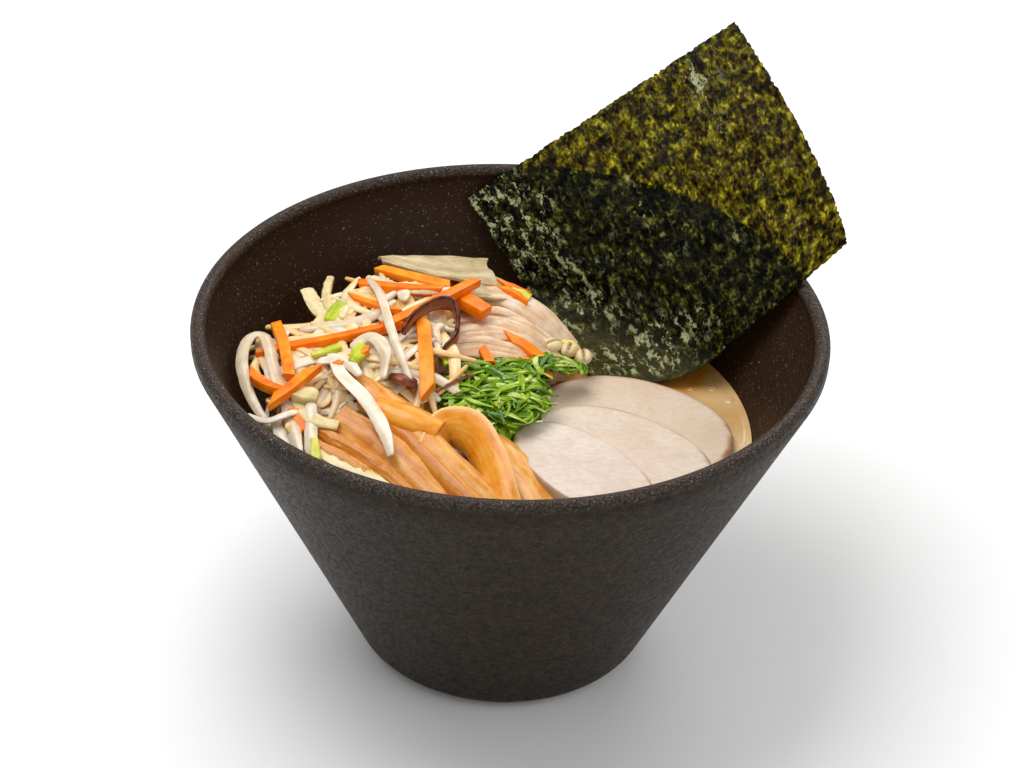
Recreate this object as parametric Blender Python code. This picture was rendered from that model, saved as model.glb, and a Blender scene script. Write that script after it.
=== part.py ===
"""A bowl of ramen: a tall black stoneware bowl with broth, a nest of noodles, sticks and shoots of
vegetable, strips of bamboo shoot, three slices of chicken, shredded scallion and a sheet of seaweed.

The origin is the middle of the foot, +Z is up, and the eater sits on the -Y side."""

from math import cos, pi, radians, sin, sqrt

import bmesh
import bpy
import numpy as np
from mathutils import Matrix, Vector
from mathutils.bvhtree import BVHTree

MM = 0.001
GAP = 0.3 * MM

# Bowl
RIM_RADIUS = 100 * MM
BOWL_HEIGHT = 120 * MM
WALL_LEAN = 0.475
WALL_THICKNESS = 4.3 * MM
WALL_TOP_RADIUS = 99.9 * MM
WALL_TOP = 115.2 * MM
BEAD_RADIUS = 2.4 * MM
FOOT_CORNER = 12 * MM
FLOOR_THICKNESS = 6 * MM
FLOOR_CORNER = 12 * MM
BOWL_SEGMENTS = 56

# Broth
BROTH_LEVEL = 78 * MM
BROTH_SEGMENTS = 36

# Seaweed: a quarter sheet whose top edge starts at its left corner
SHEET_LENGTH = 108 * MM
SHEET_DEPTH = 98 * MM
SHEET_THICKNESS = 0.5 * MM
SHEET_CORNER = (-16.5, 88.6, 111.8)
SHEET_HEADING = radians(17.6)
SHEET_RISE = radians(31.3)
SHEET_LEAN = radians(-44.9)
SHEET_BEND = (0.074, -0.069, -0.843)
SHEET_BEND_START = 0.55
SHEET_TWIST = 0.473
SHEET_CELLS = 17
SHEET_STEPS = 40
SHEET_RIPPLE = 0.45 * MM
# It bends down to lie flat at this height, from this far above it, over this much fall
SHEET_FLOAT = 80.4 * MM
SHEET_SOFTENS = 10 * MM
SHEET_FLATTENS = 20 * MM
# The wet foot is drawn this far to the left and front, over this much fall
SHEET_SLUMP = (-9 * MM, -7 * MM)
SHEET_SLUMP_FALL = 35 * MM

# Chicken: oval slices, each on the one before, all sloping the same way
SLICE_THICKNESS = 3.6 * MM
SLICE_SLOPE = 0.04
SLICE_LOW_SIDE = 74
SLICE_EDGE = 1 * MM
SLICE_SIDES = 32
SLICE_TOP_SHARE = 0.96
SLICE_GAP = 1.6 * GAP
SLICES = (
    dict(centre=(44, -6), turn=-37, back=38, front=28, half_width=28),
    dict(centre=(38, -28), turn=-41, back=36, front=29, half_width=24),
    dict(centre=(24.5, -40), turn=-50, back=30, front=28, half_width=15.5),
)

# Heaps
HEAP_FLOOR = BROTH_LEVEL + GAP
SCALLION_FLOOR = 90 * MM
HEAP_SPOKES = 36
HEAP_RINGS = 6
HEAP_STEP = 1 * MM
# From this radius, over this many millimetres, a heap is held up by the wall and spreads with it
WALL_ZONE = 68
WALL_ZONE_WIDTH = 6
WALL_SPREAD = 0.12
WALL_CLEARANCE = 0.8 * MM
CLEARANCE = 0.5 * MM
SLIVER = 0.002 * MM
LIFT_STEP = 0.5 * MM
LIFTS = 7


def clear_scene():
    for thing in list(bpy.data.objects):
        bpy.data.objects.remove(thing)


def finish(name, colour, roughness):
    """A Principled material; nothing on the bowl is metal."""
    material = bpy.data.materials.new(name)
    material.use_nodes = True
    shader = material.node_tree.nodes["Principled BSDF"]
    shader.inputs["Base Color"].default_value = (*colour, 1)
    shader.inputs["Roughness"].default_value = roughness
    shader.inputs["Metallic"].default_value = 0
    return material


def make_object(name, mesh_data, material=None):
    """An object from a bmesh, which is freed, with its faces pointing out."""
    bmesh.ops.recalc_face_normals(mesh_data, faces=mesh_data.faces)
    mesh = bpy.data.meshes.new(name)
    mesh_data.to_mesh(mesh)
    mesh_data.free()
    mesh.shade_smooth()
    mesh.set_sharp_from_angle(angle=radians(40))
    if material:
        mesh.materials.append(material)
    thing = bpy.data.objects.new(name, mesh)
    bpy.context.scene.collection.objects.link(thing)
    return thing


def outer_radius(height):
    """Radius of the bowl's straight outer wall at a height."""
    return WALL_TOP_RADIUS - WALL_LEAN * (WALL_TOP - height)


def inner_radius(height):
    return outer_radius(height) - WALL_THICKNESS


def corner_arc(radius, floor, wall, steps):
    """Points (r, z) of the arc that rounds the corner between a floor and the leaning wall, from the
    floor up. wall(z) is the wall's radius at a height."""
    slope = sqrt(1 + WALL_LEAN**2)
    centre_r = wall(floor + radius) - radius * slope
    lean = np.arctan(WALL_LEAN)
    for angle in np.linspace(-pi / 2, -lean, steps):
        yield centre_r + radius * cos(angle), floor + radius + radius * sin(angle)


def turned(name, profile, segments, material):
    """A solid turned about Z from profile points (r, z), which start and end on the axis."""
    mesh_data = bmesh.new()
    corners = [mesh_data.verts.new((r, 0, z)) for r, z in profile]
    edges = [mesh_data.edges.new(pair) for pair in zip(corners, corners[1:])]
    bmesh.ops.spin(
        mesh_data,
        geom=corners + edges,
        cent=(0, 0, 0),
        axis=(0, 0, 1),
        angle=2 * pi,
        steps=segments,
        use_merge=True,
    )
    bmesh.ops.remove_doubles(mesh_data, verts=mesh_data.verts, dist=0.01 * MM)
    return make_object(name, mesh_data, material)


def build_bowl(material):
    bead_r = RIM_RADIUS - BEAD_RADIUS
    bead_z = BOWL_HEIGHT - BEAD_RADIUS
    profile = [(0, 0)]
    profile += corner_arc(FOOT_CORNER, 0, outer_radius, 5)
    profile.append((outer_radius(WALL_TOP), WALL_TOP))
    for angle in np.linspace(radians(-60), radians(210), 10):
        profile.append((bead_r + BEAD_RADIUS * cos(angle), bead_z + BEAD_RADIUS * sin(angle)))
    profile.append((inner_radius(WALL_TOP), WALL_TOP))
    profile += reversed(list(corner_arc(FLOOR_CORNER, FLOOR_THICKNESS, inner_radius, 4)))
    profile.append((0, FLOOR_THICKNESS))
    return turned("bowl", profile, BOWL_SEGMENTS, material)


def build_broth(material):
    """The broth fills the bowl up to its level, a gap clear of the wall."""
    def wall(height):
        return inner_radius(height) - 1.3 * GAP

    floor = FLOOR_THICKNESS + GAP
    profile = [(0, floor)]
    profile += corner_arc(FLOOR_CORNER, floor, wall, 4)
    profile += [(wall(BROTH_LEVEL), BROTH_LEVEL), (0, BROTH_LEVEL)]
    return turned("broth", profile, BROTH_SEGMENTS, material)


def curve_through(points, count, closed=False):
    """Evenly numbered points of a smooth curve through the given ones."""
    nodes = [np.array(point, float) for point in points]
    spans = len(nodes) if closed else len(nodes) - 1
    if not closed:
        nodes = [2 * nodes[0] - nodes[1], *nodes, 2 * nodes[-1] - nodes[-2]]
    found = []
    for step in range(count):
        place = step * spans / (count if closed else count - 1)
        span = min(int(place), spans - 1)
        t = place - span
        if closed:
            a, b, c, d = (nodes[(span + shift) % spans] for shift in (-1, 0, 1, 2))
        else:
            a, b, c, d = nodes[span : span + 4]
        straight = 2 * b + (c - a) * t
        square = (2 * a - 5 * b + 4 * c - d) * t**2
        cube = (3 * b - a - 3 * c + d) * t**3
        found.append((straight + square + cube) / 2)
    return found


def oblong(width, thickness, sides):
    """A rounded cross-section, as (across, up) pairs."""
    return [
        (
            width / 2 * np.sign(cos(angle)) * abs(cos(angle)) ** 0.6,
            thickness / 2 * np.sign(sin(angle)) * abs(sin(angle)) ** 0.8,
        )
        for angle in np.linspace(0, 2 * pi, sides, endpoint=False) + pi / sides
    ]


def bar(width, thickness):
    """A cut stick's square cross-section."""
    return [(x * width / 2, y * thickness / 2) for x, y in ((1, 1), (-1, 1), (-1, -1), (1, -1))]


def gutter(radius, thickness, arc, steps):
    """The cross-section of a strip curled round its length, open below."""
    angles = np.linspace(pi / 2 - arc / 2, pi / 2 + arc / 2, steps)
    outside = [(radius * cos(angle), radius * (sin(angle) - 1)) for angle in angles]
    less = radius - thickness
    inside = [(less * cos(angle), less * sin(angle) - radius) for angle in reversed(angles)]
    return outside + inside


def swept(name, path, section, steps, rolls=(0, 0), taper=(1, 1), material=None):
    """A solid with one cross-section along a smooth path in millimetres. rolls turn the section about
    the path, in degrees, and taper scales its width, each from the first end to the last."""
    centres = [Vector(point) * MM for point in curve_through(path, steps)]
    roll = np.interp(np.linspace(0, 1, steps), np.linspace(0, 1, len(rolls)), rolls)
    size = np.interp(np.linspace(0, 1, steps), np.linspace(0, 1, len(taper)), taper)
    mesh_data = bmesh.new()
    rings = []
    for index, centre in enumerate(centres):
        along = centres[min(index + 1, steps - 1)] - centres[max(index - 1, 0)]
        along.normalize()
        up = (Vector((0, 0, 1)) - along * along.z).normalized()
        up.rotate(Matrix.Rotation(radians(roll[index]), 3, along))
        side = along.cross(up)
        side *= size[index]
        rings.append([mesh_data.verts.new(centre + (side * x + up * y) * MM) for x, y in section])
    count = len(section)
    for ring, following in zip(rings, rings[1:]):
        for i in range(count):
            j = (i + 1) % count
            mesh_data.faces.new((ring[i], ring[j], following[j], following[i]))
    caps = [mesh_data.faces.new(reversed(rings[0])), mesh_data.faces.new(rings[-1])]
    bmesh.ops.triangulate(mesh_data, faces=caps)
    return make_object(name, mesh_data, material)


def sheet(name, grid, thickness, material=None):
    """A thin solid round a grid of points, with both faces split into triangles alike."""
    rows, columns = len(grid), len(grid[0])
    points = np.array([[tuple(point) for point in row] for row in grid])
    normals = np.cross(np.gradient(points, axis=1), np.gradient(points, axis=0))
    normals /= np.linalg.norm(normals, axis=2, keepdims=True)
    mesh_data = bmesh.new()
    sides = []
    for sign in (0.5, -0.5):
        shifted = points + sign * thickness * normals
        sides.append([[mesh_data.verts.new(point) for point in row] for row in shifted])
    for verts in sides:
        for i in range(rows - 1):
            for j in range(columns - 1):
                a, b = verts[i][j], verts[i][j + 1]
                c, d = verts[i + 1][j + 1], verts[i + 1][j]
                mesh_data.faces.new((a, b, c))
                mesh_data.faces.new((a, c, d))
    border = [(0, j) for j in range(columns)]
    border += [(i, columns - 1) for i in range(1, rows)]
    border += [(rows - 1, j) for j in range(columns - 2, -1, -1)]
    border += [(i, 0) for i in range(rows - 2, 0, -1)]
    for (i, j), (k, m) in zip(border, border[1:] + border[:1]):
        mesh_data.faces.new((sides[0][i][j], sides[0][k][m], sides[1][k][m], sides[1][i][j]))
    return make_object(name, mesh_data, material)


def leaf(name, rear, front, thickness, wave, material=None):
    """A thin wavy leaf between two edges, each a path in millimetres."""
    columns, rows = 9, 5
    edges = [curve_through(path, columns) for path in (rear, front)]
    grid = []
    for i in range(rows):
        share = i / (rows - 1)
        row = []
        for j in range(columns):
            point = Vector(edges[0][j]).lerp(Vector(edges[1][j]), share)
            point.z += wave * sin(2.6 * share + 5.5 * j / columns) * sin(pi * share)
            row.append(point * MM)
        grid.append(row)
    return sheet(name, grid, thickness * MM, material)


def seaweed_point(along, down):
    """A point of the seaweed's middle surface. along and down are shares of its two sides."""
    flat = Vector((cos(SHEET_HEADING), sin(SHEET_HEADING), 0))
    heading = cos(SHEET_RISE) * flat + Vector((0, 0, sin(SHEET_RISE)))
    level = heading.cross(Vector((0, 0, 1))).normalized()
    fall = cos(SHEET_LEAN) * level + sin(SHEET_LEAN) * level.cross(heading)
    face = heading.cross(fall)

    def way_down(share):
        late = max(share - SHEET_BEND_START, 0)
        bend = SHEET_BEND[0] * share + SHEET_BEND[1] * share**2 + SHEET_BEND[2] * late**2
        return cos(bend) * fall + sin(bend) * face

    place = Vector(SHEET_CORNER) * MM
    for step in range(SHEET_STEPS):
        way = way_down(down * (step + 0.5) / SHEET_STEPS)
        place = place + way * (SHEET_DEPTH * down / SHEET_STEPS)
    twist = SHEET_TWIST * down
    across = cos(twist) * heading + sin(twist) * way_down(down).cross(heading)
    ripple = SHEET_RIPPLE * sin(31 * along + 4 * sin(6 * down)) * sin(9 * down + 5 * along)
    return place + across * (SHEET_LENGTH * along) + face * ripple


def build_seaweed(material):
    """The sheet leans on the rim at two places. Its wet foot has slumped flat on the broth."""
    grid = []
    for i in range(SHEET_CELLS + 1):
        row = []
        for j in range(SHEET_CELLS + 1):
            point = seaweed_point(j / SHEET_CELLS, i / SHEET_CELLS)
            sunk = max(SHEET_FLOAT + SHEET_SOFTENS - point.z, 0)
            slump = min(sunk / SHEET_SLUMP_FALL, 1)
            point.x += SHEET_SLUMP[0] * slump
            point.y += SHEET_SLUMP[1] * slump
            if sunk:
                point.z = SHEET_FLOAT + SHEET_SOFTENS * max(1 - sunk / SHEET_FLATTENS, 0) ** 2
            row.append(point)
        grid.append(row)
    return sheet("seaweed", grid, SHEET_THICKNESS, material)


def slice_edge(size, angle):
    """A point (x, y) of a slice's oval outline, in millimetres."""
    length = size["back"] if cos(angle) < 0 else size["front"]
    along, across = length * cos(angle), size["half_width"] * sin(angle)
    turn = radians(size["turn"])
    x = size["centre"][0] + along * cos(turn) - across * sin(turn)
    y = size["centre"][1] + along * sin(turn) + across * cos(turn)
    return x, y


def build_slice(index, material):
    """One oval slice of chicken with soft edges."""
    size = SLICES[index]
    bottom = HEAP_FLOOR + index * (SLICE_THICKNESS + SLICE_GAP)
    heights = (0, SLICE_EDGE, SLICE_THICKNESS - SLICE_EDGE, SLICE_THICKNESS)
    shares = (SLICE_TOP_SHARE, 1, 1, SLICE_TOP_SHARE)
    mesh_data = bmesh.new()
    loops = []
    for height, share in zip(heights, shares):
        loop = []
        for step in range(SLICE_SIDES):
            x, y = slice_edge(size, 2 * pi * step / SLICE_SIDES)
            x = size["centre"][0] + (x - size["centre"][0]) * share
            y = size["centre"][1] + (y - size["centre"][1]) * share
            slope = SLICE_SLOPE * (SLICE_LOW_SIDE - x) * MM
            loop.append(mesh_data.verts.new((x * MM, y * MM, bottom + height + slope)))
        loops.append(loop)
    for loop, following in zip(loops, loops[1:]):
        for i in range(SLICE_SIDES):
            j = (i + 1) % SLICE_SIDES
            mesh_data.faces.new((loop[i], loop[j], following[j], following[i]))
    for loop in (loops[0], loops[-1]):
        mesh_data.faces.new(loop)
    return make_object(f"chicken_{index + 1}", mesh_data, material)


def heap_core(name, footprint, top, floor, material):
    """A mound inside a smooth footprint in millimetres, from a flat floor up to top(x, y). Beside the
    wall it spreads with the bowl."""
    outline = curve_through(footprint, HEAP_SPOKES, closed=True)
    centre = sum(outline) / len(outline)
    mesh_data = bmesh.new()

    def held(x, y, height):
        """The point, moved in where it would be in the wall."""
        reach = inner_radius(height) - WALL_CLEARANCE
        distance = sqrt(x * x + y * y)
        shrink = min(1, reach / distance) if distance else 1
        return x * shrink, y * shrink, height

    foot = []
    rings = []
    for edge in outline:
        foot.append(mesh_data.verts.new(held(edge[0] * MM, edge[1] * MM, floor)))
    for ring in range(HEAP_RINGS):
        share = 1 - ring / HEAP_RINGS
        loop = []
        for edge in outline:
            at_wall = min(max(np.hypot(edge[0], edge[1]) - WALL_ZONE, 0) / WALL_ZONE_WIDTH, 1)
            wide = centre + (edge - centre) * (1 + WALL_SPREAD * at_wall * share)
            x, y = centre + (wide - centre) * share
            drop = (1 - at_wall) * share**6
            lowest = floor + HEAP_STEP
            height = lowest + (top(x, y) * MM - lowest) * (1 - drop)
            loop.append(mesh_data.verts.new(held(x * MM, y * MM, max(height, lowest))))
        rings.append(loop)
    peak = mesh_data.verts.new((centre[0] * MM, centre[1] * MM, top(*centre) * MM))
    for loop, following in zip([foot, *rings], rings):
        for i in range(HEAP_SPOKES):
            j = (i + 1) % HEAP_SPOKES
            mesh_data.faces.new((loop[i], loop[j], following[j], following[i]))
    for i in range(HEAP_SPOKES):
        mesh_data.faces.new((rings[-1][i], rings[-1][(i + 1) % HEAP_SPOKES], peak))
    mesh_data.faces.new(reversed(foot))
    return make_object(name, mesh_data, material)


def rise(value, start, end):
    """A smooth step from 0 at start to 1 at end."""
    share = min(max((value - start) / (end - start), 0), 1)
    return share * share * (3 - 2 * share)


def vegetable_top(x, y):
    """The mound of vegetables peaks left of the middle and falls away under the bamboo shoots."""
    mound = 110 - 9 * ((x + 38) / 45) ** 2 - 8 * ((y - 10) / 60) ** 2
    return mound - 0.55 * max(0, -5 - y) * rise(x, -68, -58)


def noodle_top(x, y):
    """The noodles show as one crest behind the scallions and lie low in front of it."""
    crest = 12 * np.exp(-(((x + 6) / 17) ** 2) - ((y - 27) / 17) ** 2)
    return 90 + crest - 0.12 * max(0, -20 - y)


def scallion_top(x, y):
    return 101 - 6 * ((x + 5) / 22) ** 2 - 6 * ((y + 8) / 22) ** 2


VEGETABLE_FOOT = (
    (-77, 2), (-64, 20), (-48, 36), (-32, 52), (-10, 62), (0, 52), (-12, 40),
    (-22, 22), (-23, -8), (-28, -30), (-45, -40), (-60, -46), (-71, -30),
)
NOODLE_FOOT = (
    (-24, -14), (-24, 20), (-12, 46), (6, 50), (19, 42), (19, 29),
    (8, 19), (3, 0), (-6, -24), (8, -48), (0, -66), (-22, -70), (-40, -58), (-30, -36),
)
SCALLION_FOOT = (
    (-21, -18), (-22, -3), (-12, 8), (4, 12), (15, 7), (12, -12), (0, -29), (-12, -27),
)

# Strips of bamboo shoot, top one first: path, section, rolls and taper
BAMBOO = (
    dict(
        path=((-14, -23, 95), (-4, -32, 94.5), (5, -44, 91), (13, -56, 87)),
        section=oblong(13, 3, 10),
        rolls=(-6, 12),
        taper=(0.8, 1),
    ),
    dict(
        path=(
            (-23, -37, 94), (-19, -29, 96.5), (-11, -32, 96.5),
            (-5, -43, 93.5), (-1, -55, 89.5), (2, -64, 86),
        ),
        section=oblong(11, 2.6, 10),
        rolls=(70, 60, 55, 40, 10),
        taper=(0.7, 1, 1, 0.8),
    ),
    dict(
        path=((-38, -23, 104), (-30, -27.5, 102.5), (-21, -31, 100)),
        section=gutter(6.2, 2.6, radians(200), 8),
        rolls=(10, 10),
        taper=(0.9, 1, 0.9),
    ),
    dict(
        path=(
            (-54, -11, 104.5), (-43, -20, 102.5), (-33, -31, 99.5),
            (-22, -43, 94.5), (-9, -54, 89.5), (0, -62, 85.5),
        ),
        section=oblong(14, 2.8, 10),
        rolls=(10, 25, 30, 20),
        taper=(0.8, 1, 0.8),
    ),
    dict(
        path=((-44, -32, 97), (-32, -45, 93), (-20, -58, 88), (-14, -65, 85)),
        section=oblong(10, 2.8, 10),
        rolls=(30, 30),
        taper=(0.9, 1),
    ),
    dict(
        path=((-58, -33, 95.5), (-44, -42, 94), (-30, -52, 89.5), (-22, -62, 85.5)),
        section=oblong(16, 4, 12),
        rolls=(35, 25),
        taper=(0.8, 1, 0.8),
    ),
)

# Vegetables laid by hand, each a path and its section
STICK = bar(3.6, 3.4)
THIN_STICK = bar(2.4, 2.2)
BLOCK = bar(6.5, 3.6)
SHOOT = oblong(3.2, 2.8, 5)
THIN_SHOOT = oblong(2.2, 2.2, 5)
WIDE_SHOOT = oblong(5, 2.2, 6)
EAR = bar(1.4, 4.2)
VEGETABLES = (
    (((-78, 2, 103), (-58, 2, 108), (-36, 8, 111)), STICK),
    (((-40, 5, 112), (-26, 19, 112), (-12, 39, 109)), STICK),
    (((-75, 15, 105), (-71, -1, 107.5), (-68, -17, 106.5)), STICK),
    (((-81, -12, 104), (-76, -18, 104), (-69, -23, 104.5)), STICK),
    (((-73, -26, 103), (-68, -22, 105), (-61, -13, 107)), STICK),
    (((-44, 51, 105), (-32, 43, 107), (-20, 37, 108)), STICK),
    (((-50, 39, 106.5), (-36, 34, 108.5), (-22, 33, 109)), STICK),
    (((-52, 29, 107.5), (-37, 16, 111)), THIN_STICK),
    (((-28, 12, 111), (-26, -7, 107.5), (-25, -19, 103.5)), bar(4.6, 3)),
    (((-20, 36, 107), (-8, 24, 106.5)), BLOCK),
    (((-54, -12, 108), (-44, -6, 110.5)), THIN_STICK),
    (
        (
            (-72, -15, 100), (-79, 11, 101), (-84, 4, 104),
            (-84, -6, 102.5), (-79, -21, 98.5), (-71, -30, 94.5),
        ),
        SHOOT,
    ),
    (
        ((-47, 42, 107), (-42, 23, 112.5), (-38, 3, 114), (-34, -8, 110), (-30, -17, 104.5)),
        THIN_SHOOT,
    ),
    (
        ((-55, -5, 107.5), (-51, -19, 107.8), (-44, -27, 106), (-38, -34, 103.4), (-34, -43, 101)),
        WIDE_SHOOT,
    ),
    (((-50, -3, 109), (-44, -1, 112), (-39, -8, 111.5), (-39, -17, 107)), SHOOT),
    (((-36, 37, 107.5), (-34, 25, 110)), SHOOT),
    (((-67, 40, 103), (-63, 28, 104.5), (-58, 16, 106)), WIDE_SHOOT),
    (((-60, 47, 103.5), (-60, 31, 105.5), (-57, 20, 106.5)), SHOOT),
    (((-69, -23, 101), (-63, -43, 95.5)), SHOOT),
    (((-61, -24, 102), (-60, -38, 97), (-59, -46, 93.5)), SHOOT),
    (((-72, -27, 98), (-66, -44, 93.5)), SHOOT),
    (((-67, -21, 103), (-59, -22, 102.5)), BLOCK),
    (
        (
            (-34, 2, 112), (-30, 10, 114), (-23, 20, 112.5),
            (-18, 20, 110.5), (-17, 8, 108.5), (-21, 1, 106),
        ),
        EAR,
    ),
    (((-58, 15, 106.5), (-54, 25, 107)), BLOCK),
    (((-62, -6, 107), (-53, -3, 109)), THIN_STICK),
)
LEAVES = (
    dict(rear=((-45, 61, 104), (-28, 66, 102.5), (-13, 70, 99.5)),
         front=((-42, 55, 104.5), (-28, 46, 106.5), (-13, 47, 104)), thickness=1.6, wave=1.2),
    dict(rear=((-15, 50, 104), (-6, 54, 102.5), (2, 52, 99.5)),
         front=((-16, 33, 107), (-8, 34, 106), (0, 40, 102)), thickness=1.6, wave=0.8),
)

# Noodles: strands side by side, arching over the crest from left to right
STRANDS = 11
STRAND = oblong(2.6, 2.2, 6)
STRAND_STRAY = 0.7
STRAND_SEED = 3
FIRST_STRAND = ((-15, 42, 100), (-3, 45, 101.5), (10, 42, 96.5), (20, 36, 86.5))
LAST_STRAND = ((-20, 14, 97), (-9, 16, 100), (3, 19, 97), (13, 20, 90))

# Scallions: shreds strewn over the pile
SHREDS = 13
SHRED = bar(1.7, 1.2)
SHRED_LENGTH = (9, 17)
SHRED_CURL = 4
SHRED_TWIST = 60
SHRED_CENTRE = (-3, -9)
SHRED_REACH = (16, 17)
SHRED_SEED = 7
SCALLION_TAIL = (
    ((4, 2, 100), (15, 8, 97.5), (26, 14, 93)),
    ((6, 7, 99), (14, 12, 96.5), (22, 17, 93)),
)


def grown(thing, distance=CLEARANCE):
    """A hidden copy with its skin moved out, to cut its neighbours clear of it."""
    mesh_data = bmesh.new()
    mesh_data.from_mesh(thing.data)
    mesh_data.normal_update()
    moves = [vert.normal * distance for vert in mesh_data.verts]
    for vert, move in zip(mesh_data.verts, moves):
        vert.co += move
    copy = make_object(thing.name + "_room", mesh_data)
    copy.hide_render = True
    copy.display_type = "WIRE"
    return copy


def tree_of(thing):
    mesh_data = bmesh.new()
    mesh_data.from_mesh(thing.data)
    tree = BVHTree.FromBMesh(mesh_data)
    mesh_data.free()
    return tree


def crosses(thing, trees):
    """Whether the object's skin meets any of the skins, or starts inside one."""
    own = tree_of(thing)
    if any(own.overlap(tree) for tree in trees):
        return True
    start = thing.data.vertices[0].co
    for tree in trees:
        place, hits = start.copy(), 0
        while True:
            spot, _, _, distance = tree.ray_cast(place, Vector((0, 0, 1)))
            if spot is None:
                break
            hits += 1
            place = spot + Vector((0, 0, 1e-6))
        if hits % 2:
            return True
    return False


def apply_modifiers(thing):
    graph = bpy.context.evaluated_depsgraph_get()
    mesh = bpy.data.meshes.new_from_object(thing.evaluated_get(graph))
    thing.modifiers.clear()
    thing.data = mesh


def keep_largest(thing):
    """Drops loose scraps and fills sealed hollows, by keeping only the shell with the biggest box."""
    mesh_data = bmesh.new()
    mesh_data.from_mesh(thing.data)
    bmesh.ops.remove_doubles(mesh_data, verts=mesh_data.verts, dist=SLIVER)
    bmesh.ops.dissolve_degenerate(mesh_data, edges=mesh_data.edges, dist=SLIVER)
    unseen = set(mesh_data.faces)
    shells = []
    while unseen:
        shell = [unseen.pop()]
        for face in shell:
            for edge in face.edges:
                if len(edge.link_faces) == 2:
                    other = next(near for near in edge.link_faces if near is not face)
                    if other in unseen:
                        unseen.discard(other)
                        shell.append(other)
        shells.append(shell)

    def box(shell):
        places = np.array([vert.co for face in shell for vert in face.verts])
        return float(np.prod(places.max(axis=0) - places.min(axis=0)))

    shells.sort(key=box, reverse=True)
    extra = [face for shell in shells[1:] for face in shell]
    bmesh.ops.delete(mesh_data, geom=extra, context="FACES")
    mesh_data.to_mesh(thing.data)
    mesh_data.free()


def carve(thing, cutters):
    """Cuts the object clear of each cutter that it meets. The manifold solver leaves no sealed
    hollows here, where the exact one does."""
    for cutter in cutters:
        if not tree_of(thing).overlap(tree_of(cutter)):
            continue
        cut = thing.modifiers.new("clear_" + cutter.name, "BOOLEAN")
        cut.operation = "DIFFERENCE"
        cut.solver = "MANIFOLD"
        cut.object = cutter
        apply_modifiers(thing)
        keep_largest(thing)


def fuse(core, pieces):
    """One body from a heap's core and the pieces lying on it. The pieces are used up."""
    group = bpy.data.collections.new(core.name + "_pieces")
    bpy.context.scene.collection.children.link(group)
    for piece in pieces:
        bpy.context.scene.collection.objects.unlink(piece)
        group.objects.link(piece)
    union = core.modifiers.new("fuse", "BOOLEAN")
    union.operation = "UNION"
    union.solver = "MANIFOLD"
    union.operand_type = "COLLECTION"
    union.collection = group
    apply_modifiers(core)
    for piece in pieces:
        bpy.data.objects.remove(piece)
    bpy.data.collections.remove(group)
    keep_largest(core)


def settle(pieces, obstacles):
    """Lifts each piece until it is clear of the obstacles. One that stays in the way is left out."""
    trees = [tree_of(obstacle) for obstacle in obstacles]
    placed = []
    for piece in pieces:
        for _ in range(LIFTS):
            if not crosses(piece, trees):
                placed.append(piece)
                break
            piece.data.transform(Matrix.Translation((0, 0, LIFT_STEP)))
        else:
            bpy.data.objects.remove(piece)
    return placed


def vegetable_pieces():
    for index, (path, section) in enumerate(VEGETABLES):
        yield swept(f"vegetable_{index}", path, section, 3 * len(path) - 2)
    for index, shape in enumerate(LEAVES):
        yield leaf(f"leaf_{index}", **shape)


def noodle_pieces():
    """Strands spread evenly from the first path to the last, each a little out of line."""
    draw = np.random.default_rng(STRAND_SEED)
    for index in range(STRANDS):
        share = index / (STRANDS - 1)
        path = [
            (1 - share) * np.array(a)
            + share * np.array(b)
            + draw.uniform(-STRAND_STRAY, STRAND_STRAY, 3)
            for a, b in zip(FIRST_STRAND, LAST_STRAND)
        ]
        yield swept(f"strand_{index}", path, STRAND, 8)


def scallion_pieces():
    """Curled shreds on the pile, spread by the golden angle, each lying its own way."""
    draw = np.random.default_rng(SHRED_SEED)
    for index in range(SHREDS):
        reach = sqrt((index + 0.5) / SHREDS)
        angle = index * pi * (3 - sqrt(5))
        x = SHRED_CENTRE[0] + SHRED_REACH[0] * reach * cos(angle)
        y = SHRED_CENTRE[1] + SHRED_REACH[1] * reach * sin(angle)
        way = draw.uniform(0, pi)
        half = draw.uniform(*SHRED_LENGTH) / 2
        curl = draw.uniform(-SHRED_CURL, SHRED_CURL)
        path = []
        for share in (-1, 0, 1):
            px = x + half * share * cos(way) - curl * (1 - share**2) * sin(way)
            py = y + half * share * sin(way) + curl * (1 - share**2) * cos(way)
            path.append((px, py, scallion_top(px, py) + 0.3 + 0.6 * (1 - abs(share))))
        twist = draw.uniform(-SHRED_TWIST, SHRED_TWIST)
        yield swept(f"shred_{index}", path, SHRED, 5, (0, twist))
    for index, path in enumerate(SCALLION_TAIL):
        yield swept(f"tail_{index}", path, SHRED, 5)


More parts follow.
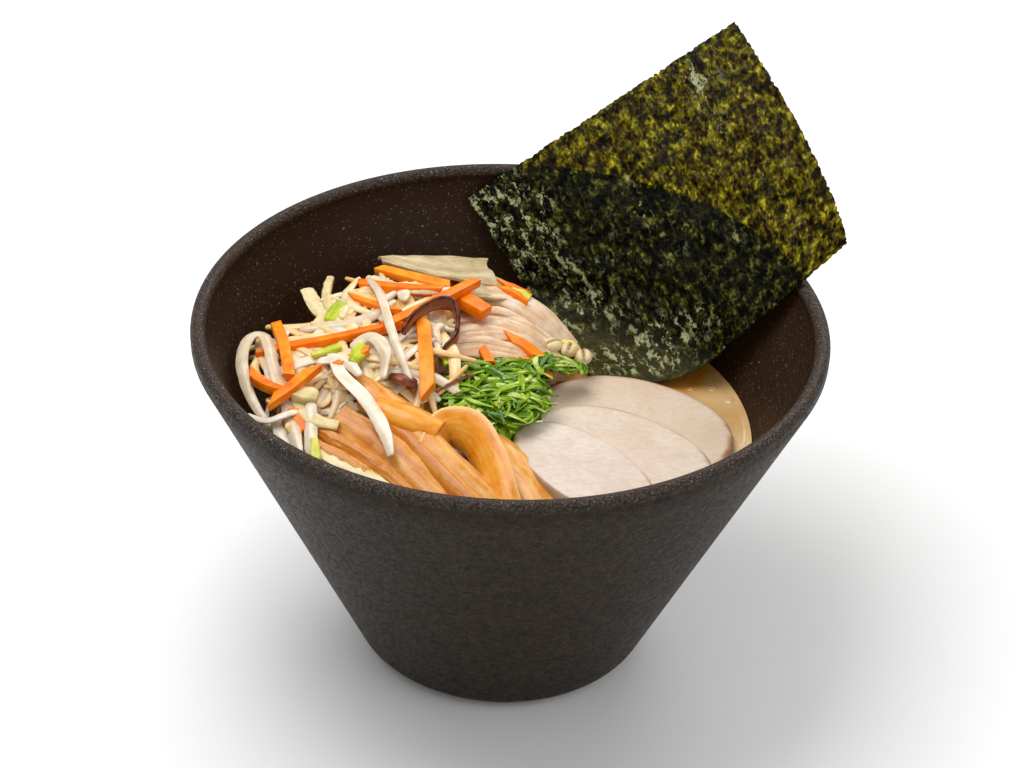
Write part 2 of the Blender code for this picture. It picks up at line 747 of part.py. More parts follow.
def main():
    clear_scene()
    bowl = build_bowl(finish("black_stoneware", (0.022, 0.019, 0.017), 0.55))
    broth = build_broth(finish("cream_broth", (0.60, 0.42, 0.22), 0.25))
    seaweed = build_seaweed(finish("seaweed", (0.020, 0.028, 0.008), 0.4))
    chicken_finish = finish("poached_chicken", (0.72, 0.52, 0.42), 0.45)
    slices = [build_slice(index, chicken_finish) for index in range(len(SLICES))]
    bamboo_finish = finish("bamboo_shoot", (0.70, 0.33, 0.10), 0.35)
    strips = []
    for index, shape in enumerate(BAMBOO):
        steps = 3 * len(shape["path"]) - 2
        strips.append(swept(f"bamboo_{index + 1}", steps=steps, material=bamboo_finish, **shape))
    green = finish("scallion", (0.10, 0.30, 0.02), 0.4)
    orange = finish("vegetable", (0.75, 0.42, 0.16), 0.4)
    pale = finish("noodle", (0.78, 0.55, 0.36), 0.35)
    cores = [
        heap_core("scallions", SCALLION_FOOT, scallion_top, SCALLION_FLOOR, green),
        heap_core("vegetables", VEGETABLE_FOOT, vegetable_top, HEAP_FLOOR, orange),
        heap_core("noodles", NOODLE_FOOT, noodle_top, HEAP_FLOOR, pale),
    ]

    toppings = [seaweed, *reversed(slices), *strips]
    rooms = []
    for topping in toppings:
        room = grown(topping)
        carve(topping, rooms)
        rooms.append(room)
    bowl_room = grown(bowl, GAP)
    for core in cores:
        room = grown(core)
        carve(core, rooms)
        rooms.append(room)
    carve(broth, rooms)

    for core, pieces in zip(cores, (scallion_pieces(), vegetable_pieces(), noodle_pieces())):
        others = [room for room in rooms if room.name != core.name + "_room"]
        fuse(core, settle(pieces, [bowl_room, *others]))
        rooms = [*others, grown(core)]


main()
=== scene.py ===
"""Looks of a bowl of ramen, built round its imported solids.

Lengths are in millimetres in the tables and fields below, and are turned into metres where a mesh is
made. +Z is up and the eater sits on the -Y side.
"""

import logging
from collections.abc import Callable, Iterable, Sequence
from dataclasses import dataclass, field, replace
from enum import Enum
from math import atan, ceil, copysign, cos, exp, hypot, pi, radians, sin, sqrt

import bmesh
import bpy
import numpy as np
from mathutils import Matrix, Vector, noise


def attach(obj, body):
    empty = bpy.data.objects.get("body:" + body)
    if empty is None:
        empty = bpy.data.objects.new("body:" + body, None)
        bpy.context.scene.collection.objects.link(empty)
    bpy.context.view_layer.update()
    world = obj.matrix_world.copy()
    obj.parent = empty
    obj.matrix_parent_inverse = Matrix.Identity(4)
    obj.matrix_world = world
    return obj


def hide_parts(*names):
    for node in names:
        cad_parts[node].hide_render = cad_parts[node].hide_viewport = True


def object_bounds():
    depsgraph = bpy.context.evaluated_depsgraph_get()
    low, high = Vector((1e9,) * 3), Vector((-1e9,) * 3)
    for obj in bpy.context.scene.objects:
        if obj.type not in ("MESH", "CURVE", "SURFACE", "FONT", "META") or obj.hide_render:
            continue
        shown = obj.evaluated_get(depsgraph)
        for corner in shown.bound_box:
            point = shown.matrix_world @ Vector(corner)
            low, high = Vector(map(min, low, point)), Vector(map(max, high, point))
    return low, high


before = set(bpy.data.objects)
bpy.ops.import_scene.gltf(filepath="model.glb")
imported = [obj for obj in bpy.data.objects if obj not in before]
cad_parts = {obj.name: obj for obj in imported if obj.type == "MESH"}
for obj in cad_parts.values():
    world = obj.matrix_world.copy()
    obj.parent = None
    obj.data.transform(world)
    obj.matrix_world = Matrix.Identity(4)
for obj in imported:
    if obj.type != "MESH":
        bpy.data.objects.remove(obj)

MM = 0.001
BODY = "root"
CAD_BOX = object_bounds()

SHARP_ANGLE = 42
MERGE = 0.01
Point = tuple[float, float, float]
Path = Sequence[Point]
Pair = tuple[float, float]
Colour = tuple[float, float, float]
Mesh = bmesh.types.BMesh
Material = bpy.types.Material
Tree = bpy.types.NodeTree
Node = bpy.types.Node
Socket = bpy.types.NodeSocket

log = logging.getLogger("ramen")


def paint(red: float, green: float, blue: float) -> Colour:
    """A colour as seen on a screen, 0 to 255, as the linear colour that the shader takes.

    Args:
        red: Red as seen, 0 to 255.
        green: Green as seen, 0 to 255.
        blue: Blue as seen, 0 to 255.

    Returns:
        The linear colour.
    """

    def linear(value: float) -> float:
        """One channel made linear."""
        share = value / 255
        return share / 12.92 if share <= 0.04045 else ((share + 0.055) / 1.055) ** 2.4

    return linear(red), linear(green), linear(blue)


def smooth_step(value: float, start: float, end: float) -> float:
    """A smooth rise from 0 at start to 1 at end.

    Args:
        value: The value.
        start: Where the rise starts.
        end: Where it ends.

    Returns:
        The share of the rise at the value.
    """
    share = min(max((value - start) / (end - start), 0.0), 1.0)
    return share * share * (3 - 2 * share)


def curve_points(path: Path, shares: Sequence[float]) -> list[Vector]:
    """Points of a smooth curve through the path.

    Args:
        path: The points that the curve goes through.
        shares: Places along the curve, 0 to 1.

    Returns:
        The points, in millimetres.
    """
    nodes = [Vector(point) for point in path]
    nodes = [2 * nodes[0] - nodes[1], *nodes, 2 * nodes[-1] - nodes[-2]]
    spans = len(nodes) - 3
    found = []
    for share in shares:
        span = min(int(share * spans), spans - 1)
        t = share * spans - span
        a, b, c, d = nodes[span : span + 4]
        cube = (3 * b - a - 3 * c + d) * t**3
        found.append((2 * b + (c - a) * t + (2 * a - 5 * b + 4 * c - d) * t**2 + cube) / 2)
    return found


class Ends(Enum):
    """How a strand ends."""

    CUT = "cut"
    ROUND = "round"


@dataclass(frozen=True)
class Section:
    """A strand's cross-section.

    Attributes:
        width: Width across.
        thickness: Thickness.
        sides: Points round it.
        square: 0 for an oval, 1 for a cut stick.
        ribs: Height of the ridges on the upper face.
        rib_count: Ridges across the upper face.
        arc: Turn of a strip that is rolled into a gutter, in degrees, and 0 for a flat one.
    """

    width: float
    thickness: float
    sides: int = 8
    square: float = 0.0
    ribs: float = 0.0
    rib_count: int = 0
    arc: float = 0.0

    def ring(self) -> list[tuple[float, float, float, float, float]]:
        """Works out the section's points.

        Returns:
            For each point: sideways, up, place across, depth in a furrow and share of the top face.
        """
        power = 1 - 0.8 * self.square
        points = []
        for step in range(self.sides):
            angle = 2 * pi * (step + 0.5) / self.sides
            across = copysign(abs(cos(angle)) ** power, cos(angle))
            up = copysign(abs(sin(angle)) ** power, sin(angle)) * self.thickness / 2
            furrow = 0.0
            top = 0.5 + 0.5 * sin(angle)
            if self.ribs and up > 0:
                ridge = cos(pi * self.rib_count * across)
                up += self.ribs * ridge * sin(angle)
                # The furrow's depth, which sets the painted shade in it.
                furrow = max(-ridge, 0) * sin(angle)
            if self.arc:
                half = radians(self.arc) / 2
                radius = self.width / (2 * half)
                swing, reach = across * half, radius + up
                points.append((reach * sin(swing), reach * cos(swing) - radius, across, furrow, top))
            else:
                points.append((across * self.width / 2, up, across, furrow, top))
        return points


@dataclass
class Strand:
    """One long piece with a cross-section along a smooth path.

    Attributes:
        path: Points in millimetres.
        section: Its cross-section.
        steps: Rings between the two ends.
        rolls: Turns of the section about the path, in degrees, from first to last.
        widths: Shares of the width, from first to last.
        depths: Shares of the thickness, from first to last.
        ends: How it ends.
        uneven: How far its skin wanders, in millimetres.
        tone: 0 to 1, its own shade.
        slant: How far its ends are cut askew, in millimetres.
        measures: Points from which its length is measured.
    """

    path: Path
    section: Section
    steps: int = 10
    rolls: Sequence[float] = (0, 0)
    widths: Sequence[float] = (1, 1)
    depths: Sequence[float] = (1, 1)
    ends: Ends = Ends.CUT
    uneven: float = 0.12
    tone: float = 0.5
    slant: float = 0.0
    measures: int = 24

    def shares(self, length: float) -> list[Pair]:
        """Places of the rings along the strand.

        Args:
            length: The strand's length in millimetres.

        Returns:
            Each ring's share of the way along and its share of the full size.
        """
        soft = min(self.section.thickness * (0.5 if self.ends is Ends.ROUND else 0.16), length / 3)
        floor = 0.35 if self.ends is Ends.ROUND else 0.86
        ends = []
        for part in (0.0, 0.3, 1.0):
            size = floor + (1 - floor) * sqrt(1 - (1 - part) ** 2)
            ends.append((part * soft / length, size))
        first, last = ends[-1][0], 1 - ends[-1][0]
        middle = [
            (first + (last - first) * step / (self.steps + 1), 1.0) for step in range(1, self.steps + 1)
        ]
        return ends + middle + [(1 - share, size) for share, size in reversed(ends)]

    def build(self) -> Mesh:
        """Extrudes the section's face ring by ring along the path.

        Returns:
            A closed mesh whose points carry their place along, across and their tone.
        """
        rough = curve_points(self.path, np.linspace(0, 1, self.measures))
        length = sum((b - a).length for a, b in zip(rough, rough[1:]))
        places = self.shares(length)
        centres = curve_points(self.path, [share for share, _ in places])
        ways = self.directions([share for share, _ in places])
        body = bmesh.new()
        along, across, upper, tone, furrow = layers(body, "along", "across", "upper", "tone", "furrow")
        bmesh.ops.create_circle(body, cap_ends=True, radius=1, segments=self.section.sides)
        body.faces.ensure_lookup_table()
        face = body.faces[0]
        first_edges = list(face.edges)
        ring = self.section.ring()
        seed = Vector((self.tone * 91, self.path[0][0] * 0.37, self.path[0][1] * 0.41))
        for index, ((share, size), centre, way) in enumerate(zip(places, centres, ways)):
            skew = self.slant * (1 - 2 * share) * (abs(1 - 2 * share) > 0.7)
            if index:
                face = bmesh.ops.extrude_discrete_faces(body, faces=[face])["faces"][0]
            roll = radians(self.between(self.rolls, share))
            up = (Vector((0, 0, 1)) - way * way.z).normalized()
            up.rotate(Matrix.Rotation(roll, 3, way))
            side = way.cross(up)
            wide = size * self.between(self.widths, share)
            deep = size * self.between(self.depths, share)
            for vert, (x, y, offset, depth, top) in zip(face.verts, ring):
                place = centre + side * x * wide + up * y * deep + way * skew * offset
                stray = noise.noise(place * 0.35 + seed) + 0.5 * noise.noise(place * 0.9 + seed)
                place += (side * x + up * y).normalized() * stray * self.uneven
                vert.co = place * MM
                vert[along] = share * length
                vert[across] = offset
                vert[upper] = top
                vert[tone] = self.tone
                vert[furrow] = depth
        bmesh.ops.holes_fill(body, edges=first_edges)
        bmesh.ops.recalc_face_normals(body, faces=body.faces)
        return body

    def directions(self, shares: Sequence[float]) -> list[Vector]:
        """The path's direction at each place.

        Args:
            shares: Places along the path, 0 to 1.

        Returns:
            Directions of length 1.
        """
        before = curve_points(self.path, [max(share - 0.01, 0) for share in shares])
        after = curve_points(self.path, [min(share + 0.01, 1) for share in shares])
        return [(b - a).normalized() for a, b in zip(before, after)]

    @staticmethod
    def between(values: Sequence[float], share: float) -> float:
        """The value at a place along the strand."""
        return float(np.interp(share, np.linspace(0, 1, len(values)), values))


def bowed(x: float, y: float, way: float, half: float, curl: float, share: float) -> Pair:
    """A place on a strand that bows to one side, seen from above.

    Args:
        x: Place of its middle without the bow, to the right.
        y: The same, away from the eater.
        way: Its direction in radians.
        half: Half its length.
        curl: How far it bows.
        share: Place along it, from -1 to 1.

    Returns:
        The place in millimetres.
    """
    bow = curl * (1 - share**2)
    return x + half * share * cos(way) - bow * sin(way), y + half * share * sin(way) + bow * cos(way)


def laid_out(
    laid: Sequence[tuple[Path, Section]], rings: tuple[int, int], shade: float, **cut: object
) -> list[Strand]:
    """Strands from a table, each with a shade of its own.

    Args:
        laid: Paths, each with its section.
        rings: Rings of every strand, and further rings for each point of its path.
        shade: How far the shade moves on from one strand to the next.
        cut: The strands' other fields.

    Returns:
        The strands.
    """
    plain, each = rings
    return [
        Strand(path, section, plain + each * len(path), tone=(index * shade) % 1, **cut)
        for index, (path, section) in enumerate(laid)
    ]


def layers(body: Mesh, *names: str) -> list[bmesh.types.BMLayerItem]:
    """New values that each point of a mesh carries, by name."""
    return [body.verts.layers.float.new(name) for name in names]


class Lot:
    """Things of one kind, gathered into one mesh."""

    def __init__(self, name: str) -> None:
        """Starts an empty lot."""
        self.name = name
        self.mesh = bmesh.new()

    def add(self, body: Mesh) -> None:
        """Adds a mesh.

        Args:
            body: The mesh, which is used up.
        """
        scrap = bpy.data.meshes.new("scrap")
        body.to_mesh(scrap)
        body.free()
        self.mesh.from_mesh(scrap)
        bpy.data.meshes.remove(scrap)

    def lay(self, strands: Iterable[Strand]) -> None:
        """Adds strands.

        Args:
            strands: The strands, which are built here.
        """
        for strand in strands:
            self.add(strand.build())

    def piece(self, material: Material, slot: str, *nodes: str) -> None:
        """Makes the lot one dressed piece.

        Args:
            material: Its material.
            slot: The record's material slot that it belongs to.
            nodes: CAD nodes that it stands for.
        """
        dress(self.name, self.mesh, material, slot, *nodes)


def dress(
    name: str, body: Mesh, material: Material, slot: str, *nodes: str
) -> None:
    """Makes an object from a mesh, keeps it inside the CAD box, hangs it on the body and hides the CAD
    nodes that it stands for.

    Args:
        name: The piece's name.
        body: Its mesh, which is used up.
        material: Its material.
        slot: Not used.
        nodes: CAD nodes that it stands for.
    """
    low, high = CAD_BOX
    for vert in body.verts:
        vert.co = Vector([min(max(c, a), b) for c, a, b in zip(vert.co, low, high)])
    mesh = bpy.data.meshes.new(name)
    body.to_mesh(mesh)
    count = len(body.calc_loop_triangles())
    body.free()
    mesh.shade_smooth()
    mesh.set_sharp_from_angle(angle=radians(SHARP_ANGLE))
    mesh.materials.append(material)
    thing = bpy.data.objects.new(name, mesh)
    bpy.context.scene.collection.objects.link(thing)
    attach(thing, BODY)
    if nodes:
        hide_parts(*nodes)
    log.info("%s: %d triangles", name, count)


class Shader:
    """Places and links the nodes of one material or group."""

    def __init__(self, tree: Tree) -> None:
        """Works on a node tree."""
        self.tree = tree

    def put(self, value: object, socket: Socket) -> None:
        """Links a socket, or sets it to a number or a colour.

        Args:
            value: A socket to link, a number, a vector or a colour.
            socket: The input that takes it.
        """
        if isinstance(value, Socket):
            self.tree.links.new(value, socket)
        elif isinstance(value, (tuple, list)):
            socket.default_value = (*value, 1) if len(value) == 3 and socket.type == "RGBA" else value
        else:
            socket.default_value = value

    def node(self, kind: str, inputs: dict | None = None, **settings: object) -> Node:
        """Adds a node.

        Args:
            kind: The node's type without its prefix.
            inputs: Values or sockets for its inputs, by name or number.
            settings: Values for its own settings.

        Returns:
            The node.
        """
        found = self.tree.nodes.new("ShaderNode" + kind)
        for name, value in settings.items():
            setattr(found, name, value)
        for key, value in (inputs or {}).items():
            self.put(value, found.inputs[key])
        return found

    def maths(self, operation: str, *values: object, clamp: bool = False) -> Socket:
        """The result of one sum.

        Args:
            operation: The sum's name in the Math node.
            values: Numbers or sockets.
            clamp: Whether the result is kept between 0 and 1.

        Returns:
            The result.
        """
        inputs = dict(enumerate(values))
        return self.node("Math", inputs, operation=operation, use_clamp=clamp).outputs[0]

    def spread(
        self, value: object, low: float, high: float, out: Pair
    ) -> Socket:
        """A value taken smoothly from one range to another.

        Args:
            value: The value's socket.
            low: Lower end of its range.
            high: Upper end of its range.
            out: What the two ends become.

        Returns:
            The new value.
        """
        inputs = {0: value, 1: low, 2: high, 3: out[0], 4: out[1]}
        return self.node("MapRange", inputs, interpolation_type="SMOOTHSTEP").outputs[0]

    def grain(
        self, place: object, scale: float, detail: float = 3, rough: float = 0.55
    ) -> Socket:
        """Soft noise, 0 to 1.

        Args:
            place: The point's place.
            scale: Size of the pattern: more is finer.
            detail: Finer layers on the first.
            rough: Strength of the finer layers.

        Returns:
            The noise.
        """
        inputs = {"Vector": place, "Scale": scale, "Detail": detail, "Roughness": rough}
        return self.node("TexNoise", inputs).outputs[0]

    def blend(self, share: object, first: object, second: object) -> Socket:
        """Two colours mixed.

        Args:
            share: Share of the second, 0 to 1.
            first: The colour where the share is 0.
            second: The colour where it is 1.

        Returns:
            The mixed colour.
        """
        found = self.node("Mix", data_type="RGBA")
        self.put(share, found.inputs[0])
        self.put(first, found.inputs[6])
        self.put(second, found.inputs[7])
        return found.outputs[2]

    def ramp(self, share: object, stops: Sequence[tuple[float, Colour]]) -> Socket:
        """A colour from a scale of colours.

        Args:
            share: Place on the scale, 0 to 1.
            stops: Places on it, each with its colour.

        Returns:
            The colour.
        """
        found = self.node("ValToRGB", {0: share})
        scale = found.color_ramp
        while len(scale.elements) < len(stops):
            scale.elements.new(0.5)
        for stop, (place, colour) in zip(scale.elements, stops):
            stop.position = place
            stop.color = (*colour, 1)
        return found.outputs[0]

    def object_place(self) -> Socket:
        """The point's own place on the object."""
        return self.node("TexCoord").outputs["Object"]

    def own(self, name: str) -> Socket:
        """A value that the mesh carries."""
        return self.node("Attribute", attribute_name=name).outputs["Fac"]

    def use(self, group: Tree, inputs: dict) -> Node:
        """Places a shared group.

        Args:
            group: The group.
            inputs: Values or sockets for its inputs, by name.

        Returns:
            The group's node.
        """
        found = self.tree.nodes.new("ShaderNodeGroup")
        found.node_tree = group
        for key, value in inputs.items():
            self.put(value, found.inputs[key])
        return found

    def emboss(self, skin: Node, strength: float, depth: float, height: Socket) -> None:
        """Gives a skin its fine relief.

        Args:
            skin: The Principled node.
            strength: How strongly the relief shows, 0 to 1.
            depth: The relief's depth in millimetres.
            height: Height at each point, 0 to 1.
        """
        bump = self.node("Bump", {"Strength": strength, "Distance": depth * MM, "Height": height})
        self.put(bump.outputs[0], skin.inputs["Normal"])

    def moisten(self, skin: Node, group: Tree, wet: Pair, scale: float) -> None:
        """Gives a skin its wet and dry places.

        Args:
            skin: The Principled node.
            group: The shared group of wet and dry places.
            wet: Roughness where wet and where dry.
            scale: Size of the places: more is finer.
        """
        moist = self.use(group, {"Wet": wet[0], "Dry": wet[1], "Scale": scale})
        self.put(moist.outputs["Roughness"], skin.inputs["Roughness"])


def let_light_in(skin: Node, share: float, radius: Colour, depth: float) -> None:
    """Lets light go a little way into a skin.

    Args:
        skin: The Principled node.
        share: How much of the light goes in, 0 to 1.
        radius: How far each colour goes, as shares of the depth.
        depth: How far light goes in millimetres.
    """
    skin.inputs["Subsurface Weight"].default_value = share
    skin.inputs["Subsurface Radius"].default_value = radius
    skin.inputs["Subsurface Scale"].default_value = depth * MM


class Effects:
    """Shader groups that more than one finish uses, each built once."""

    def __init__(self) -> None:
        """Builds the groups."""
        self.strand = self.build_strand()
        self.moist = self.build_moist()
        self.flecks = self.build_flecks()

    @staticmethod
    def start(
        name: str, inputs: dict[str, str], outputs: dict[str, str]
    ) -> tuple[Shader, Node, Node]:
        """A new group with named sockets.

        Args:
            name: The group's name.
            inputs: Socket kinds by name.
            outputs: Socket kinds by name.

        Returns:
            The group's shader, its input node and its output node.
        """
        tree = bpy.data.node_groups.new(name, "ShaderNodeTree")
        for way, sockets in (("INPUT", inputs), ("OUTPUT", outputs)):
            for label, kind in sockets.items():
                tree.interface.new_socket(label, in_out=way, socket_type="NodeSocket" + kind)
        shader = Shader(tree)
        return shader, tree.nodes.new("NodeGroupInput"), tree.nodes.new("NodeGroupOutput")

    def build_strand(self) -> Tree:
        """Fibres that run along a piece.

        Returns:
            A group that puts out a shade and a height, 0 to 1.
        """
        inputs = dict.fromkeys(("Along", "Across", "Tone", "Count", "Mottle"), "Float")
        shader, given, made = self.start("fibres_along", inputs, {"Shade": "Float", "Height": "Float"})
        wave = shader.grain(shader.object_place(), 140, 1)
        bent = shader.maths("MULTIPLY_ADD", wave, 0.5, given.outputs["Across"])
        wide = shader.maths("MULTIPLY", bent, given.outputs["Count"])
        long = shader.maths("MULTIPLY", given.outputs["Along"], 0.09)
        apart = shader.maths("MULTIPLY", given.outputs["Tone"], 57)
        place = shader.node("CombineXYZ", {0: wide, 1: long, 2: apart}).outputs[0]
        fibre = shader.grain(place, 1, 3, 0.6)
        cloud = shader.grain(shader.object_place(), 210, 2)
        both = shader.node("Mix", data_type="FLOAT")
        shader.put(given.outputs["Mottle"], both.inputs[0])
        shader.put(fibre, both.inputs[2])
        shader.put(cloud, both.inputs[3])
        own = shader.maths("MULTIPLY_ADD", given.outputs["Tone"], 0.22, -0.11)
        shade = shader.maths("ADD", both.outputs[0], own)
        shader.put(shade, made.inputs["Shade"])
        shader.put(fibre, made.inputs["Height"])
        return shader.tree

    def build_moist(self) -> Tree:
        """Wet and dry places.

        Returns:
            A group that puts out a roughness.
        """
        inputs = dict.fromkeys(("Wet", "Dry", "Scale"), "Float")
        shader, given, made = self.start("moist_skin", inputs, {"Roughness": "Float"})
        cloud = shader.grain(shader.object_place(), 1, 2)
        shader.put(given.outputs["Scale"], cloud.node.inputs["Scale"])
        share = shader.node("MapRange", {0: cloud, 1: 0.35, 2: 0.65}).outputs[0]
        span = shader.maths("SUBTRACT", given.outputs["Dry"], given.outputs["Wet"])
        rough = shader.maths("MULTIPLY_ADD", share, span, given.outputs["Wet"])
        shader.put(rough, made.inputs["Roughness"])
        return shader.tree

    def build_flecks(self) -> Tree:
        """Small scattered specks.

        Returns:
            A group that puts out their mask.
        """
        inputs = {"Place": "Vector", "Scale": "Float", "Size": "Float", "Few": "Float"}
        shader, given, made = self.start("scattered_flecks", inputs, {"Mask": "Float"})
        place, scale, size, few = given.outputs[:4]
        cells = shader.node("TexVoronoi", {"Vector": place, "Scale": scale})
        near = shader.maths("LESS_THAN", cells.outputs["Distance"], size)
        red = shader.node("SeparateColor", {0: cells.outputs["Color"]}).outputs[0]
        chosen = shader.maths("GREATER_THAN", red, few)
        shader.put(shader.maths("MULTIPLY", near, chosen), made.inputs["Mask"])
        return shader.tree


def start_material(name: str) -> tuple[Material, Shader, Node]:
    """A new material.

    Args:
        name: Its name.

    Returns:
        The material, its shader's helper and its Principled node.
    """
    material = bpy.data.materials.new(name)
    material.use_nodes = True
    return material, Shader(material.node_tree), material.node_tree.nodes["Principled BSDF"]


@dataclass(frozen=True)
class FoodFinish:
    """The finish of a cut or shredded food.

    Attributes:
        name: Its name.
        shades: Colours from the darkest to the lightest.
        count: Fibres across a piece.
        mottle: 0 where fibres alone colour it, 1 where soft clouds do.
        edge: Colour of its long edges, if they differ.
        under: Painted shade on its lower face, if it has any.
        furrow: Painted shade in its furrows and splits, if it has any.
        wet: Roughness where wet and where dry.
        relief: Height of its fibres, in millimetres.
        glow: How far light goes into it, 0 to 1.
        shine: Strength of its reflections.
        scale_start: Shade that takes the darkest colour.
        scale_span: Span of shades from there to the lightest colour.
        wet_scale: Fineness of its wet and dry places.
        pores: Fineness of its pores.
    """

    name: str
    shades: tuple[Colour, ...]
    count: float = 3
    mottle: float = 0.5
    edge: Colour | None = None
    under: Colour | None = None
    furrow: Colour | None = None
    wet: Pair = (0.22, 0.45)
    relief: float = 0.15
    glow: float = 0.0
    shine: float = 0.25
    scale_start: float = 0.32
    scale_span: float = 0.38
    wet_scale: float = 420.0
    pores: float = 520.0

    def material(self, effects: Effects) -> Material:
        """Builds the material.

        Args:
            effects: The shared groups.

        Returns:
            The material.
        """
        material, shader, skin = start_material(self.name)
        fibre = shader.use(
            effects.strand,
            {
                "Along": shader.own("along"),
                "Across": shader.own("across"),
                "Tone": shader.own("tone"),
                "Count": self.count,
                "Mottle": self.mottle,
            },
        )
        last, span = len(self.shades) - 1, self.scale_span
        places = [self.scale_start + span * step / last for step in range(last + 1)]
        colour = shader.ramp(fibre.outputs["Shade"], list(zip(places, self.shades)))
        if self.edge:
            side = shader.maths("ABSOLUTE", shader.own("across"))
            colour = shader.blend(shader.spread(side, 0.72, 0.98, (0, 0.85)), colour, self.edge)
        # Painted shade on the lower face.
        if self.under:
            lower = shader.spread(shader.own("upper"), 0.25, 0.5, (0.85, 0))
            colour = shader.blend(lower, colour, self.under)
        # Painted shade in the furrows between ridges.
        if self.furrow:
            deep = shader.maths("MULTIPLY", shader.own("furrow"), 0.5, clamp=True)
            colour = shader.blend(deep, colour, self.furrow)
        shader.put(colour, skin.inputs["Base Color"])
        shader.moisten(skin, effects.moist, self.wet, self.wet_scale)
        pores = shader.grain(shader.object_place(), self.pores, 1)
        height = shader.maths("MULTIPLY_ADD", pores, 0.6, fibre.outputs["Height"])
        shader.emboss(skin, 0.55, self.relief, height)
        skin.inputs["Specular IOR Level"].default_value = self.shine
        if self.glow:
            let_light_in(skin, self.glow, (1.0, 0.75, 0.5), 2)
        return material


@dataclass(frozen=True)
class StonewareFinish:
    """Black matt glaze with fine pale specks, a lip lightened partly as rubbed wear and partly as painted
    sheen, and a painted reflection of the food on its inner wall.

    Attributes:
        inner_food_reflection: Painted reflection of the food, a brownish colour on the inner wall.
        lip: Colour of its lip, partly rubbed wear and partly painted sheen.
        lip_height: Height from which the lip is lightened, in millimetres.
        lip_fade: Height over which the lightening sets in, in millimetres.
        lean: The wall's run for each millimetre of its rise.
        inside: Radius that the inner wall would have at the ground, in millimetres.
        inner_reflection_share: Share of that painted reflection on the inner wall.
        small: Fineness and size of the small specks, and the share of places without one.
        large: The same for the large specks.
        matt: Roughness where it is smoothest and where roughest.
        rings: Fineness of the potter's rings along each way.
    """

    dark: Colour = paint(24, 18, 12)
    main: Colour = paint(54, 43, 31)
    # Painted reflection of the food, a brownish colour on the inner wall.
    inner_food_reflection: Colour = paint(48, 29, 14)
    speck: Colour = paint(150, 140, 130)
    # Lip colour: partly rubbed wear, partly painted sheen.
    lip: Colour = paint(92, 87, 84)
    lip_height: float = 116.0
    lip_fade: float = 3.0
    lean: float = 0.475
    inside: float = 43.2
    inner_reflection_share: float = 0.7
    small: tuple[float, float, float] = (1200.0, 0.25, 0.78)
    large: tuple[float, float, float] = (420.0, 0.16, 0.93)
    matt: Pair = (0.42, 0.62)
    shine: float = 0.13
    rings: Point = (8.0, 8.0, 420.0)
    relief: float = 0.35

    def material(self, effects: Effects) -> Material:
        """Builds the material.

        Args:
            effects: The shared groups.

        Returns:
            The material.
        """
        material, shader, skin = start_material("black_stoneware")
        place = shader.object_place()
        colour = shader.ramp(shader.grain(place, 330, 3, 0.7), [(0.3, self.dark), (0.72, self.main)])
        x, y, height = shader.node("SeparateXYZ", {0: place}).outputs
        flat = shader.node("CombineXYZ", {0: x, 1: y, 2: 0.0}).outputs[0]
        radius = shader.node("VectorMath", {0: flat}, operation="LENGTH").outputs["Value"]
        foot = shader.maths("SUBTRACT", radius, shader.maths("MULTIPLY", height, self.lean))
        within = shader.maths("LESS_THAN", foot, self.inside * MM)
        # Painted reflection of the food: a brownish colour blended onto the inner wall.
        colour = shader.blend(shader.maths("MULTIPLY", within, self.inner_reflection_share), colour, self.inner_food_reflection)
        # The lip is lightened, partly as rubbed wear and partly as painted sheen.
        lip_wear_and_sheen = shader.maths(
            "MULTIPLY",
            shader.spread(height, self.lip_height * MM, (self.lip_height + self.lip_fade) * MM, (0, 1)),
            shader.spread(shader.grain(place, 1500, 3, 0.8), 0.46, 0.68, (0.05, 1)),
        )
        colour = shader.blend(lip_wear_and_sheen, colour, self.lip)
        kinds = [self.flecks(shader, effects, kind) for kind in (self.small, self.large)]
        specks = shader.maths("MAXIMUM", *kinds)
        seen = shader.maths("MULTIPLY_ADD", within, 0.3, 0.16)
        seen = shader.maths("MULTIPLY_ADD", lip_wear_and_sheen, 0.5, seen)
        colour = shader.blend(shader.maths("MULTIPLY", specks, seen), colour, self.speck)
        skin.inputs["Specular IOR Level"].default_value = self.shine
        shader.put(colour, skin.inputs["Base Color"])
        rough = shader.spread(shader.grain(place, 700, 1), 0.3, 0.7, self.matt)
        shader.put(rough, skin.inputs["Roughness"])
        turned = shader.node("Mapping", {"Vector": place, "Scale": self.rings}).outputs[0]
        rings = shader.maths("MULTIPLY", shader.grain(turned, 1, 0), 0.35)
        relief = shader.maths("ADD", shader.grain(place, 900, 2, 0.7), rings)
        shader.emboss(skin, 0.45, self.relief, relief)
        return material

    @staticmethod
    def flecks(shader: Shader, effects: Effects, kind: tuple[float, float, float]) -> Socket:
        """The mask of one kind of specks.

        Args:
            shader: The material's shader.
            effects: The shared groups.
            kind: Fineness and size of the specks, and the share of places without one.

        Returns:
            The mask.
        """
        scale, size, few = kind
        inputs = {"Place": shader.object_place(), "Scale": scale, "Size": size, "Few": few}
        return shader.use(effects.flecks, inputs).outputs[0]


